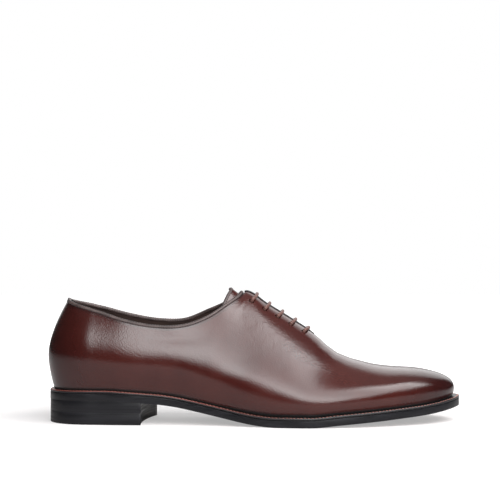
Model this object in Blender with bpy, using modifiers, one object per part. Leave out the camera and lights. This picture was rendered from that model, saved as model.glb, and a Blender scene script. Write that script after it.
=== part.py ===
"""A right whole cut oxford: one seamless upper on a welted sole with a stacked heel.

The last is worked out from short tables, a row for each section, in millimetres:
X runs to the toe, +Y is the inner side of a right foot and Z is up from the floor.
Every layer of the sole and the wall of the upper follow the same sections.
"""
import math

import bmesh
import bpy
import numpy as np
from mathutils import Vector

MM = 0.001
NAME = "whole_cut_oxford"

# Driving sizes, in millimetres.
OUTSOLE_THICK = 5.2
WELT_THICK = 1.5
INSOLE_THICK = 4.0
GAP = 0.3
WALL = 2.0
WELT_UNDER_WALL = 0.1
HEEL_TIP_THICK = 8.6
HEEL_INSET = 0.2
EDGE_BEVEL = 0.5
BREAST_X_OUTER = 69.8
BREAST_X_INNER = 77.5
BREAST_HOLLOW = 3.2
BINDING_RADIUS = 1.45
BINDING_SHORT = 1.3
LACE_RADIUS = 1.3
LACE_BEND = 1.5
LACE_CLEARANCE = 0.45
EYELET_RADIUS = 2.05
EYELET_FROM_EDGE = 12.5
EYELET_CUT_DEPTH = 6.0
BAR_LEAN = 3.1
TONGUE_THICK = 2.0
TONGUE_DEPTH = 5.9
TONGUE_TOP_DEPTH = 7.0
TONGUE_SEWN_DEPTH = 2.7
TONGUE_HALF_WIDTH = 25.0
TONGUE_RISE = 15.5
TONGUE_LEAN = 38.0
TONGUE_SIDE_DROP = 0.3

# Mesh steps.
STEP_ALONG = 7.6
UP_STEPS = (0.0, 0.1, 0.22, 0.35, 0.48, 0.59, 0.69, 0.78, 0.85, 0.9, 0.94, 0.97, 1.0)
STEPS_ACROSS = 4
STEPS_TONGUE = 7
LACE_SIDES = 8
BINDING_SIDES = 8
EYELET_SIDES = 16

# Underside of the outsole seen from the side: x and height above the floor.
SOLE_PROFILE = (
    (0.0, 16.9), (20.0, 17.4), (43.0, 17.5), (62.0, 16.4), (80.0, 15.1), (94.0, 13.3),
    (106.0, 10.9), (118.0, 8.3), (130.0, 5.7), (142.0, 3.1), (154.0, 1.1), (167.0, 0.0),
    (191.0, 0.0), (213.0, 1.8), (235.0, 3.6), (258.0, 5.6), (282.0, 8.0), (305.6, 11.9),
)

# Sections of the last. A section stands across the foot at x, or turns round the same
# centre at the heel (turn below 0) and at the toe (turn above 0), in degrees.
# welt is how far the sole's edge stands out from the foot of the wall.
STATION_COLUMNS = ("x", "axis_y", "turn", "welt")
STATIONS = {
    "back": (33.0, 0.0, -90.0, 3.0),
    "back_corner": (33.0, 0.0, -45.0, 3.0),
    "counter": (33.0, 0.0, 0.0, 3.0),
    "seat": (56.0, 0.0, 0.0, 3.0),
    "breast": (80.0, 0.5, 0.0, 3.0),
    "quarter": (100.0, 1.5, 0.0, 3.0),
    "waist": (118.0, 2.5, 0.0, 3.5),
    "arch": (133.0, 3.2, 0.0, 4.0),
    "throat_corner": (141.0, 3.5, 0.0, 4.2),
    "throat_bend": (144.0, 3.55, 0.0, 4.3),
    "throat_top": (146.0, 3.6, 0.0, 4.4),
    "instep": (162.0, 3.8, 0.0, 5.0),
    "ball_rear": (180.0, 3.8, 0.0, 5.3),
    "throat_end": (197.0, 3.6, 0.0, 5.3),
    "ball": (214.0, 3.4, 0.0, 5.3),
    "vamp": (230.0, 3.2, 0.0, 5.3),
    "toe_rear": (246.0, 3.0, 0.0, 5.3),
    "toe_side": (262.0, 3.0, 0.0, 5.2),
    "toe_corner": (262.0, 3.0, 45.0, 5.0),
    "toe_tip": (262.0, 3.0, 90.0, 5.2),
}

# Each side of each section: edge is the sole's edge measured out from the section's
# centre; low, mid, high and crown shape the wall, as distance out and height, and top is
# where the wall ends, at the collar, at the throat's slit or at the ridge of the instep.
SIDE_COLUMNS = ("edge", "low_r", "low_z", "mid_r", "mid_z", "high_r", "high_z",
                "crown_r", "crown_z", "top_r", "top_z")
OUTER_SIDE = {
    "back": (33.0, 31.8, 30.0, 34.8, 44.0, 34.6, 58.0, 27.5, 76.0, 20.5, 88.8),
    "back_corner": (33.2, 31.9, 30.0, 35.0, 43.0, 35.0, 57.0, 28.8, 74.5, 22.0, 86.0),
    "counter": (32.8, 31.6, 30.0, 34.6, 42.0, 35.0, 55.0, 29.5, 71.0, 24.5, 81.5),
    "seat": (35.0, 33.8, 29.5, 36.6, 40.0, 37.0, 52.0, 32.5, 65.0, 29.5, 74.2),
    "breast": (36.1, 35.0, 28.0, 38.0, 39.0, 38.0, 51.0, 34.2, 61.5, 31.7, 69.8),
    "quarter": (38.0, 37.0, 26.0, 40.0, 37.0, 39.5, 50.0, 35.3, 61.0, 32.5, 70.2),
    "waist": (41.8, 40.1, 20.5, 42.5, 31.5, 42.2, 44.0, 36.0, 63.0, 29.6, 76.3),
    "arch": (46.2, 44.2, 17.8, 46.0, 30.0, 43.8, 44.0, 32.0, 71.5, 21.6, 85.8),
    "throat_corner": (48.6, 46.7, 16.8, 47.8, 30.2, 43.7, 45.7, 25.6, 80.0, 13.2, 91.2),
    "throat_bend": (49.6, 47.6, 16.6, 48.6, 30.4, 43.2, 47.1, 20.8, 86.9, 7.0, 94.0),
    "throat_top": (50.2, 48.2, 17.0, 49.2, 30.5, 42.0, 50.0, 15.0, 94.8, 0.5, 96.0),
    "instep": (54.4, 52.0, 15.0, 52.5, 28.0, 42.0, 48.0, 14.0, 85.5, 0.5, 86.4),
    "ball_rear": (57.6, 55.0, 14.0, 54.5, 26.0, 42.0, 43.5, 15.0, 74.5, 0.5, 75.3),
    "throat_end": (58.2, 55.5, 14.0, 54.5, 25.0, 41.0, 38.0, 17.0, 63.5, 0.0, 64.2),
    "ball": (56.9, 54.3, 15.0, 53.5, 25.0, 41.0, 35.0, 20.0, 50.5, 0.0, 50.6),
    "vamp": (54.2, 51.6, 16.0, 51.0, 25.5, 41.0, 34.0, 21.0, 44.5, 0.0, 44.5),
    "toe_rear": (50.0, 47.3, 17.0, 47.0, 26.0, 38.0, 34.0, 19.0, 41.0, 0.0, 40.8),
    "toe_side": (44.0, 41.2, 18.0, 41.2, 27.0, 33.5, 35.0, 16.5, 39.6, 0.0, 39.5),
    "toe_corner": (40.0, 37.2, 20.0, 37.6, 28.0, 30.0, 35.5, 14.5, 39.2, 0.0, 39.5),
    "toe_tip": (43.6, 40.3, 22.3, 40.4, 29.0, 30.5, 35.6, 14.0, 38.8, 0.0, 39.5),
}
INNER_SIDE = {
    "back": (33.0, 31.8, 30.0, 34.8, 44.0, 34.6, 58.0, 27.5, 76.0, 20.5, 88.8),
    "back_corner": (32.8, 31.5, 30.0, 34.5, 43.0, 34.5, 57.0, 28.5, 75.0, 22.0, 86.3),
    "counter": (32.0, 31.0, 30.0, 34.0, 42.0, 34.5, 56.0, 29.5, 72.0, 24.5, 82.5),
    "seat": (33.0, 32.3, 29.5, 36.0, 41.0, 36.5, 54.0, 32.5, 67.0, 29.3, 76.2),
    "breast": (31.0, 31.5, 29.0, 36.5, 40.5, 37.0, 54.0, 33.8, 64.0, 31.0, 72.0),
    "quarter": (27.5, 29.0, 26.5, 36.0, 38.0, 37.0, 52.0, 33.5, 63.5, 30.5, 72.4),
    "waist": (25.5, 26.4, 21.0, 33.5, 31.5, 36.0, 44.5, 31.8, 64.5, 26.5, 79.5),
    "arch": (26.1, 27.2, 18.6, 33.8, 30.2, 35.1, 44.2, 27.2, 71.2, 19.5, 86.4),
    "throat_corner": (27.6, 28.5, 17.5, 34.5, 30.1, 34.4, 46.0, 22.2, 80.0, 12.0, 91.4),
    "throat_bend": (28.2, 29.4, 17.6, 35.3, 30.5, 34.1, 48.1, 18.3, 87.1, 6.4, 94.1),
    "throat_top": (28.6, 30.0, 18.0, 36.0, 30.5, 33.5, 51.0, 14.0, 94.3, 0.5, 96.0),
    "instep": (33.2, 33.3, 16.0, 38.0, 28.0, 33.0, 49.0, 13.0, 85.3, 0.5, 86.4),
    "ball_rear": (39.7, 38.5, 14.5, 41.5, 26.0, 33.0, 45.0, 13.0, 74.3, 0.5, 75.3),
    "throat_end": (44.4, 42.5, 14.0, 44.0, 25.0, 33.5, 40.0, 14.5, 63.3, 0.0, 64.2),
    "ball": (46.6, 44.5, 15.0, 45.3, 25.0, 35.0, 36.5, 17.0, 50.5, 0.0, 50.6),
    "vamp": (46.3, 44.0, 16.0, 44.6, 26.0, 36.0, 35.0, 18.5, 44.5, 0.0, 44.5),
    "toe_rear": (44.2, 41.7, 17.0, 42.2, 26.5, 34.5, 35.0, 17.5, 41.0, 0.0, 40.8),
    "toe_side": (39.8, 37.0, 18.0, 37.8, 27.5, 31.0, 35.5, 15.5, 39.6, 0.0, 39.5),
    "toe_corner": (39.0, 36.2, 20.0, 36.8, 28.5, 29.5, 36.0, 14.3, 39.2, 0.0, 39.5),
    "toe_tip": (43.6, 40.3, 22.3, 40.4, 29.0, 30.5, 35.6, 14.0, 38.8, 0.0, 39.5),
}
OUTER, INNER = -1.0, 1.0

# Eyelets from the top pair down: x of each pair where it goes through the wall.
EYELET_X = (150.3, 159.9, 169.6, 179.3, 189.0)

# The lace in order: side, pair counted from the top, and how it gets to the next point.
# bar: across the outside; past: inside, past the pairs between on the side given; end.
LACE_ROUTE = (
    ("outer", 0, "start"), ("outer", 1, "bar"), ("inner", 1, "past_inward"),
    ("inner", 3, "bar"), ("outer", 3, "straight"), ("outer", 4, "bar"),
    ("inner", 4, "past_outward"), ("inner", 2, "bar"), ("outer", 2, "past_outward"),
    ("outer", 0, "bar"), ("inner", 0, "end"),
)
LACE_PASS = 3.3
LACE_STUB = 4.5

BROWN_LEATHER = ((0.062, 0.017, 0.013), 0.28)
DARK_EDGE = ((0.03, 0.012, 0.010), 0.45)
BLACK_RUBBER = ((0.016, 0.015, 0.017), 0.55)
TAN_LINING = ((0.20, 0.12, 0.075), 0.7)


def shape_spline(knots, values, at, level_start=True, level_end=True):
    """Smooth cubic through the rows, level at an end where the shoe's two sides meet."""
    step = np.diff(knots)
    slope = np.diff(values) / step
    size = len(knots)
    matrix, right = np.zeros((size, size)), np.zeros(size)
    matrix[0, 0] = matrix[-1, -1] = 1.0
    if level_start:
        matrix[0, :2], right[0] = (2 * step[0], step[0]), 6 * slope[0]
    if level_end:
        matrix[-1, -2:], right[-1] = (step[-1], 2 * step[-1]), -6 * slope[-1]
    for i in range(1, size - 1):
        matrix[i, i - 1:i + 2] = step[i - 1], 2 * (step[i - 1] + step[i]), step[i]
        right[i] = 6 * (slope[i] - slope[i - 1])
    bend = np.linalg.solve(matrix, right)
    i = int(np.clip(np.searchsorted(knots, at) - 1, 0, size - 2))
    a, b, h = knots[i + 1] - at, at - knots[i], step[i]
    return ((bend[i] * a ** 3 + bend[i + 1] * b ** 3) / (6 * h)
            + (values[i] / h - bend[i] * h / 6) * a
            + (values[i + 1] / h - bend[i + 1] * h / 6) * b)


def edge_spline(knots, values, at):
    """Cubic that never runs past its rows: flat stretches stay flat, corners stay in."""
    step = np.diff(knots)
    slope = np.diff(values) / step
    tangent = np.zeros(len(knots))
    tangent[0], tangent[-1] = slope[0], slope[-1]
    for i in range(1, len(knots) - 1):
        if slope[i - 1] * slope[i] > 0:
            tangent[i] = 2 * slope[i - 1] * slope[i] / (slope[i - 1] + slope[i])
    i = int(np.clip(np.searchsorted(knots, at) - 1, 0, len(knots) - 2))
    t = (at - knots[i]) / step[i]
    return ((2 * t ** 3 - 3 * t ** 2 + 1) * values[i] + (3 * t ** 2 - 2 * t ** 3) * values[i + 1]
            + step[i] * ((t ** 3 - 2 * t ** 2 + t) * tangent[i] + (t ** 3 - t ** 2) * tangent[i + 1]))


STATION_TABLE = np.array([STATIONS[name] for name in STATIONS])
SIDE_TABLES = {OUTER: np.array([OUTER_SIDE[name] for name in STATIONS]),
               INNER: np.array([INNER_SIDE[name] for name in STATIONS])}
PROFILE_X, PROFILE_Z = np.array(SOLE_PROFILE).T
EDGE_COLUMNS = ("top_r", "top_z")
UPPER_COLUMNS = ("high_r", "high_z", "crown_r", "crown_z")


def station_lengths():
    """Distance run along the sole's edge up to each section."""
    mean_edge = (SIDE_TABLES[OUTER][:, 0] + SIDE_TABLES[INNER][:, 0]) / 2
    ahead = np.abs(np.diff(STATION_TABLE[:, 0]))
    round_end = np.radians(np.abs(np.diff(STATION_TABLE[:, 2]))) * mean_edge[:-1]
    return np.concatenate(([0.0], np.cumsum(ahead + round_end)))


RUN = station_lengths()
RUN_AT = dict(zip(STATIONS, RUN))


def run_at_x(x):
    """Distance run at a section that stands across the foot at x."""
    first, last = list(STATIONS).index("counter"), list(STATIONS).index("toe_side")
    return float(np.interp(x, STATION_TABLE[first:last + 1, 0], RUN[first:last + 1]))


def station_value(run, column):
    values = STATION_TABLE[:, STATION_COLUMNS.index(column)]
    if column in ("x", "turn"):
        return float(np.interp(run, RUN, values))
    return shape_spline(RUN, values, run)


def side_value(side, run, column):
    values = SIDE_TABLES[side][:, SIDE_COLUMNS.index(column)]
    if column in EDGE_COLUMNS:
        return edge_spline(RUN, values, run)
    if column in UPPER_COLUMNS:
        corner = list(STATIONS).index("throat_top")
        if run <= RUN[corner]:
            return shape_spline(RUN[:corner + 1], values[:corner + 1], run, level_end=False)
        return shape_spline(RUN[corner:], values[corner:], run, level_start=False)
    return shape_spline(RUN, values, run)


def sole_height(x):
    """Height of the outsole's underside."""
    return edge_spline(PROFILE_X, PROFILE_Z, float(np.clip(x, PROFILE_X[0], PROFILE_X[-1])))


def place(side, run, out):
    """Plan point at a distance out from the section's centre."""
    turn = math.radians(station_value(run, "turn"))
    return (station_value(run, "x") + out * math.sin(turn),
            station_value(run, "axis_y") + side * out * math.cos(turn))


def sole_edge(side, run, inset=0.0):
    return place(side, run, side_value(side, run, "edge") - inset)


def wall_foot(side, run, inset=0.0):
    """Plan point of the foot of the upper's wall."""
    return sole_edge(side, run, station_value(run, "welt") + inset)


def stack(*layers):
    """Height over the outsole's underside after the layers, with a gap after each."""
    return sum(layers) + GAP * len(layers)


FOOT_RISE = stack(OUTSOLE_THICK, WELT_THICK)


def spline_weights(t):
    """Weights of six points of a clamped cubic, t from 0 to 1."""
    knots = np.array([0, 0, 0, 0, 1 / 3, 2 / 3, 1, 1, 1, 1])
    t = min(max(t, 0.0), 1.0 - 1e-9)
    weights = np.where((knots[:-1] <= t) & (t < knots[1:]), 1.0, 0.0)
    for degree in range(1, 4):
        left = knots[degree:-1] - knots[:-degree - 1]
        right = knots[degree + 1:] - knots[1:-degree]
        rising = np.where(left > 0, (t - knots[:-degree - 1]) / np.where(left > 0, left, 1), 0)
        falling = np.where(right > 0, (knots[degree + 1:] - t) / np.where(right > 0, right, 1), 0)
        weights = rising * weights[:-1] + falling * weights[1:]
    return weights


def wall_point(side, run, up):
    """Point on the outside of the upper: up is 0 at the foot and 1 at the top edge."""
    foot_x, _ = wall_foot(side, run)
    foot_out = side_value(side, run, "edge") - station_value(run, "welt")
    outs = [foot_out] + [side_value(side, run, c) for c in SIDE_COLUMNS[1::2]]
    heights = [sole_height(foot_x) + FOOT_RISE] + [side_value(side, run, c)
                                                   for c in SIDE_COLUMNS[2::2]]
    weights = spline_weights(up)
    x, y = place(side, run, float(weights @ outs))
    return Vector((x, y, float(weights @ heights)))


def wall_normal(side, run, up):
    """Direction out of the wall."""
    small_run, small_up = 0.5, 0.01
    low, high = max(up - small_up, 0.0), min(up + small_up, 1.0)
    along = wall_point(side, run + small_run, up) - wall_point(side, run - small_run, up)
    rise = wall_point(side, run, high) - wall_point(side, run, low)
    return (along.cross(rise) * -side).normalized()


def inside_wall(side, run, up, depth):
    """Point at a depth under the wall's outside, or over it where depth is below 0."""
    return wall_point(side, run, up) - wall_normal(side, run, up) * depth


def up_at(side, run, from_edge):
    """Where on a section the wall is at a distance down from its top edge."""
    steps = np.linspace(1.0, 0.0, 60)
    points = [wall_point(side, run, t) for t in steps]
    lengths = np.cumsum([0.0] + [(b - a).length for a, b in zip(points, points[1:])])
    return float(np.interp(from_edge, lengths, steps))


def run_steps(first, last):
    """Sample distances between two named sections, on every section between them."""
    names = list(STATIONS)
    start, end = names.index(first), names.index(last)
    runs = [RUN[start]]
    for i in range(start, end):
        count = max(1, round((RUN[i + 1] - RUN[i]) / STEP_ALONG))
        runs += list(np.linspace(RUN[i], RUN[i + 1], count + 1)[1:])
    return runs


def material(name, look, metallic=0.0):
    colour, roughness = look
    made = bpy.data.materials.new(name)
    made.use_nodes = True
    made.diffuse_color = (*colour, 1.0)
    shader = made.node_tree.nodes["Principled BSDF"]
    shader.inputs["Base Color"].default_value = (*colour, 1.0)
    shader.inputs["Roughness"].default_value = roughness
    shader.inputs["Metallic"].default_value = metallic
    return made


def mesh_object(name, points, faces, look, collection):
    """Closed or open mesh from points in millimetres, with doubles joined and faces out."""
    mesh = bpy.data.meshes.new(name)
    work = bmesh.new()
    corners = [work.verts.new(Vector(p) * MM) for p in points]
    for face in faces:
        work.faces.new([corners[i] for i in face])
    bmesh.ops.remove_doubles(work, verts=work.verts, dist=0.00002)
    bmesh.ops.dissolve_degenerate(work, edges=work.edges, dist=0.00001)
    bmesh.ops.recalc_face_normals(work, faces=work.faces)
    work.to_mesh(mesh)
    work.free()
    made = bpy.data.objects.new(name, mesh)
    collection.objects.link(made)
    made.data.materials.append(material(name + "_material", look))
    return made


def add_bevel(target, width):
    bevel = target.modifiers.new("edge", 'BEVEL')
    bevel.width = width * MM
    bevel.segments = 1
    bevel.limit_method = 'ANGLE'
    bevel.angle_limit = math.radians(50)


def plate(name, rows, low, high, look, collection, bevel=EDGE_BEVEL):
    """Solid over rows of plan points, from the height low(x) to high(x)."""
    columns = len(rows[0])
    points = [(x, y, high(x)) for row in rows for x, y in row]
    points += [(x, y, low(x)) for row in rows for x, y in row]
    under = len(rows) * columns
    faces = []
    for i in range(len(rows) - 1):
        for j in range(columns - 1):
            a = i * columns + j
            quad = (a, a + 1, a + columns + 1, a + columns)
            faces += [quad, tuple(under + k for k in reversed(quad))]
    last = (len(rows) - 1) * columns
    rim = [i * columns for i in range(len(rows))] + [last + j for j in range(1, columns)]
    rim += [i * columns + columns - 1 for i in reversed(range(len(rows) - 1))]
    rim += list(reversed(range(1, columns - 1)))
    faces += [(a, b, b + under, a + under) for a, b in zip(rim, rim[1:] + rim[:1])]
    made = mesh_object(name, points, drop_flat(faces, points), look, collection)
    if bevel:
        add_bevel(made, bevel)
    return made


def drop_flat(faces, points):
    """Faces with repeated corners made triangles, or left out where nothing is left."""
    kept = []
    for face in faces:
        corners = []
        for i in face:
            if all(math.dist(points[i], points[k]) > 0.01 for k in corners):
                corners.append(i)
        if len(corners) > 2:
            kept.append(tuple(corners))
    return kept


def across(outer, inner, bow=0.0):
    """Row of plan points from the outer side to the inner, bowed towards the heel."""
    row = []
    for j in range(STEPS_ACROSS + 1):
        t = j / STEPS_ACROSS
        dip = bow * (1 - (2 * t - 1) ** 2)
        row.append((outer[0] + (inner[0] - outer[0]) * t - dip,
                    outer[1] + (inner[1] - outer[1]) * t))
    return row


def build_outsole(collection):
    rows = [across(sole_edge(OUTER, u), sole_edge(INNER, u)) for u in run_steps("back", "toe_tip")]
    return plate("outsole", rows, sole_height, lambda x: sole_height(x) + OUTSOLE_THICK,
                 BLACK_RUBBER, collection)


def build_insole(collection):
    inset = WALL + WELT_UNDER_WALL + GAP
    rows = [across(wall_foot(OUTER, u, inset), wall_foot(INNER, u, inset))
            for u in run_steps("back", "toe_tip")]
    rise = stack(OUTSOLE_THICK)
    return plate("insole", rows, lambda x: sole_height(x) + rise,
                 lambda x: sole_height(x) + rise + INSOLE_THICK, TAN_LINING, collection, 0)


def build_welt(collection):
    """Strip round the whole edge, between the outsole and the foot of the upper."""
    runs = run_steps("back", "toe_tip")
    loop = [(OUTER, u) for u in runs] + [(INNER, u) for u in reversed(runs[1:-1])]
    rise, inset = stack(OUTSOLE_THICK), WALL + WELT_UNDER_WALL
    points = []
    for side, run in loop:
        for x, y in (sole_edge(side, run), wall_foot(side, run, inset)):
            points += [(x, y, sole_height(x) + rise), (x, y, sole_height(x) + rise + WELT_THICK)]
    faces = []
    for i in range(len(loop)):
        a, b = 4 * i, 4 * ((i + 1) % len(loop))
        faces += [(a, b, b + 1, a + 1), (a + 1, b + 1, b + 3, a + 3),
                  (a + 3, b + 3, b + 2, a + 2), (a + 2, b + 2, b, a)]
    return mesh_object("welt", points, faces, DARK_EDGE, collection)


def heel_rows():
    """Plan rows of the heel, from the back to the hollow, swung breast."""
    ends = {OUTER: run_at_x(BREAST_X_OUTER), INNER: run_at_x(BREAST_X_INNER)}
    count = round(ends[OUTER] / STEP_ALONG)
    rows = []
    for i in range(count + 1):
        t = i / count
        outer = sole_edge(OUTER, ends[OUTER] * t, HEEL_INSET)
        inner = sole_edge(INNER, ends[INNER] * t, HEEL_INSET)
        rows.append(across(outer, inner, BREAST_HOLLOW * t ** 2))
    return rows


def build_heel(collection):
    rows = heel_rows()
    tip_top = HEEL_TIP_THICK
    plate("heel_block", rows, lambda x: tip_top + GAP, lambda x: sole_height(x) - GAP,
          BLACK_RUBBER, collection, EDGE_BEVEL / 2)
    plate("heel_top_piece", rows, lambda x: 0.0, lambda x: tip_top, BLACK_RUBBER, collection,
          EDGE_BEVEL / 2)


def build_upper(collection, cutters):
    """The one-piece wall: a sheet over the last, thickened inwards, with punched eyelets."""
    runs = run_steps("back", "toe_tip")
    loop = [(OUTER, u) for u in runs] + [(INNER, u) for u in reversed(runs[1:-1])]
    points = [wall_point(side, run, up) for side, run in loop for up in UP_STEPS]
    count = len(UP_STEPS)
    faces = []
    for i in range(len(loop)):
        a, b = i * count, (i + 1) % len(loop) * count
        faces += [(a + j, b + j, b + j + 1, a + j + 1) for j in range(count - 1)]
    upper = mesh_object("upper", points, drop_flat(faces, points), BROWN_LEATHER, collection)
    wall = upper.modifiers.new("wall", 'SOLIDIFY')
    wall.thickness = WALL * MM
    wall.offset = -1.0
    holes = upper.modifiers.new("eyelets", 'BOOLEAN')
    holes.operation = 'DIFFERENCE'
    holes.solver = 'EXACT'
    holes.object = build_eyelet_cutter(cutters)
    return upper


def eyelet(side, pair):
    """Run and up of an eyelet."""
    run = run_at_x(EYELET_X[pair])
    return run, up_at(side, run, EYELET_FROM_EDGE)


def build_eyelet_cutter(cutters):
    """Round punches through both facings, square to the wall."""
    points, faces = [], []
    for side in (OUTER, INNER):
        for pair in range(len(EYELET_X)):
            run, up = eyelet(side, pair)
            centre, normal = wall_point(side, run, up), wall_normal(side, run, up)
            across_hole = normal.orthogonal().normalized()
            other = normal.cross(across_hole)
            first = len(points)
            for end in (-1.0, 1.0):
                for k in range(EYELET_SIDES):
                    angle = 2 * math.pi * k / EYELET_SIDES
                    points.append(centre + normal * (end * EYELET_CUT_DEPTH)
                                  + (across_hole * math.cos(angle) + other * math.sin(angle))
                                  * EYELET_RADIUS)
            low = [first + k for k in range(EYELET_SIDES)]
            high = [k + EYELET_SIDES for k in low]
            faces += [tuple(reversed(low)), tuple(high)]
            faces += [(low[k - 1], low[k], high[k], high[k - 1]) for k in range(EYELET_SIDES)]
    cutter = mesh_object("eyelet_punches", points, faces, BLACK_RUBBER, cutters)
    cutter.hide_render = True
    cutter.display_type = 'WIRE'
    return cutter


def cord(name, route, radius, sides, look, collection):
    """Round tube with closed ends along a route in millimetres."""
    curve = bpy.data.curves.new(name, 'CURVE')
    curve.dimensions = '3D'
    curve.bevel_depth = radius * MM
    curve.bevel_resolution = sides // 4 - 1
    curve.use_fill_caps = True
    line = curve.splines.new('POLY')
    line.points.add(len(route) - 1)
    for knot, point in zip(line.points, route):
        knot.co = (*(Vector(point) * MM), 1.0)
    made = bpy.data.objects.new(name, curve)
    collection.objects.link(made)
    curve.materials.append(material(name + "_material", look))
    return made


def build_binding(collection):
    """Rolled bead along the collar, from one top corner of the throat to the other."""
    runs = run_steps("back", "throat_bend") + [RUN_AT["throat_top"] - BINDING_SHORT]
    loop = [(OUTER, u) for u in reversed(runs)] + [(INNER, u) for u in runs[1:]]
    route = []
    for side, run in loop:
        edge = wall_point(side, run, 1.0)
        along = (wall_point(side, run + 1.0, 1.0) - wall_point(side, run - 1.0, 1.0)).normalized()
        rise = edge - wall_point(side, run, 0.98)
        rise = (rise - along * rise.dot(along)).normalized()
        centre = inside_wall(side, run, 1.0, WALL / 2)
        route.append(centre + rise * (BINDING_RADIUS + GAP))
    return cord("collar_binding", route, BINDING_RADIUS, BINDING_SIDES, DARK_EDGE, collection)


def tongue_row(run, depth, half_width):
    """Points across the tongue under one section of the throat."""
    row = []
    for side, order in ((OUTER, reversed(range(1, STEPS_TONGUE + 1))),
                        (INNER, range(1, STEPS_TONGUE + 1))):
        for j in order:
            up = up_at(side, run, half_width * j / STEPS_TONGUE)
            row.append(inside_wall(side, run, up, depth))
        if side == OUTER:
            outer_top = inside_wall(OUTER, run, 1.0, depth)
            row.append((outer_top + inside_wall(INNER, run, 1.0, depth)) / 2)
    return row


def build_tongue(collection):
    """Leather tongue: sewn in under the vamp and standing a little over the throat."""
    top = tongue_row(RUN_AT["throat_top"], TONGUE_TOP_DEPTH, TONGUE_HALF_WIDTH)
    lean = math.radians(TONGUE_LEAN)
    rise = Vector((-math.cos(lean), 0.0, math.sin(lean)))
    rows = []
    for share in (1.0, 0.8, 0.5, 0.25):
        half = len(top) // 2
        rows.append([p + rise * TONGUE_RISE * share
                     * (1 - TONGUE_SIDE_DROP * abs((j - half) / half) ** 3) for j, p in enumerate(top)])
    rows.append(top)
    for x, depth in ((154, TONGUE_DEPTH), (162, TONGUE_DEPTH), (171, TONGUE_DEPTH),
                     (180, TONGUE_DEPTH), (189, TONGUE_DEPTH), (196, TONGUE_DEPTH),
                     (204, 4.0), (211, TONGUE_SEWN_DEPTH), (217, TONGUE_SEWN_DEPTH)):
        rows.append(tongue_row(run_at_x(x), depth, TONGUE_HALF_WIDTH))
    columns = len(top)
    points = [p for row in rows for p in row]
    faces = [(i * columns + j, i * columns + j + 1, (i + 1) * columns + j + 1,
              (i + 1) * columns + j) for i in range(len(rows) - 1) for j in range(columns - 1)]
    tongue = mesh_object("tongue", points, faces, BROWN_LEATHER, collection)
    upwards = sum((p.normal.z for p in tongue.data.polygons)) > 0
    body = tongue.modifiers.new("leather", 'SOLIDIFY')
    body.thickness = TONGUE_THICK * MM
    body.offset = -1.0 if upwards else 1.0
    return tongue


def rounded(route, radius):
    """Route with each sharp corner turned on a short arc."""
    made = [route[0]]
    for before, corner, after in zip(route, route[1:], route[2:]):
        back, ahead = before - corner, after - corner
        cut = min(radius, back.length * 0.45, ahead.length * 0.45)
        if back.angle(ahead) > math.radians(150):
            made.append(corner)
            continue
        start, end = corner + back.normalized() * cut, corner + ahead.normalized() * cut
        for t in (0.0, 1 / 3, 2 / 3, 1.0):
            made.append(start * (1 - t) ** 2 + corner * 2 * t * (1 - t) + end * t * t)
    return made + [route[-1]]


def lace_leg(side, pair, depth, shift=0.0):
    """Point of the lace at an eyelet: over the wall or under it, shifted to the edge."""
    run, up = eyelet(side, pair)
    if shift:
        up = up_at(side, run, EYELET_FROM_EDGE - shift)
    return inside_wall(side, run, up, depth)


def bar_half(side, pair):
    """Points of a bar from one eyelet up to the middle of the closed throat."""
    points = []
    for share in (1.0, 0.75, 0.5, 0.25, 0.0):
        run = run_at_x(EYELET_X[pair] + BAR_LEAN * (1 - share ** 2))
        up = up_at(side, run, EYELET_FROM_EDGE * share)
        points.append(inside_wall(side, run, up, -(LACE_RADIUS + LACE_CLEARANCE)))
    return points


def lace_bar(side, pair):
    """Points of a bar over the closed throat, from the given side to the other."""
    near, far = bar_half(side, pair), bar_half(-side, pair)
    middle = (near[-1] + far[-1]) / 2
    return near[:-1] + [middle] + list(reversed(far[:-1]))


def build_lace(collection):
    """One cord: bars across the throat, joined by hidden runs under the facings."""
    under = WALL + LACE_CLEARANCE + LACE_RADIUS
    sides = {"outer": OUTER, "inner": INNER}
    route = []
    for (name, pair, how), following in zip(LACE_ROUTE, LACE_ROUTE[1:] + (None,)):
        side = sides[name]
        beneath = lace_leg(side, pair, under)
        if how == "start":
            route.append(lace_leg(side, pair, under, LACE_PASS))
        elif how == "bar":
            route += [beneath] + lace_bar(side, pair)
        elif how == "end":
            run, up = eyelet(side, pair)
            route += [beneath, inside_wall(side, run + LACE_STUB, up, under)]
        else:
            route.append(beneath)
            if how.startswith("past"):
                middle = (pair + following[1]) // 2
                shift = LACE_PASS if how == "past_inward" else -LACE_PASS
                route.append(lace_leg(side, middle, under, shift))
    return cord("lace", rounded(route, LACE_BEND), LACE_RADIUS, LACE_SIDES, DARK_EDGE, collection)


def build():
    for old in list(bpy.data.objects):
        bpy.data.objects.remove(old, do_unlink=True)
    shoe = bpy.data.collections.new(NAME)
    cutters = bpy.data.collections.new("cutters")
    for collection in (shoe, cutters):
        bpy.context.scene.collection.children.link(collection)
    build_outsole(shoe)
    build_welt(shoe)
    build_heel(shoe)
    build_insole(shoe)
    build_upper(shoe, cutters)
    build_binding(shoe)
    build_tongue(shoe)
    build_lace(shoe)
    centre_on_floor(shoe, cutters)


def centre_on_floor(shoe, cutters):
    """Hang everything from one empty, so that the origin is under the middle of the shoe."""
    bpy.context.view_layer.update()
    depsgraph = bpy.context.evaluated_depsgraph_get()
    corners = []
    for made in shoe.objects:
        shape = made.evaluated_get(depsgraph)
        corners += [v.co.copy() for v in shape.to_mesh().vertices]
        shape.to_mesh_clear()
    low, high = ([pick(c[k] for c in corners) for k in range(3)] for pick in (min, max))
    frame = bpy.data.objects.new("shoe_frame", None)
    bpy.context.scene.collection.objects.link(frame)
    for made in list(shoe.objects) + list(cutters.objects):
        made.parent = frame
    frame.location = (-(low[0] + high[0]) / 2, -(low[1] + high[1]) / 2, -low[2])


build()
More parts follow.
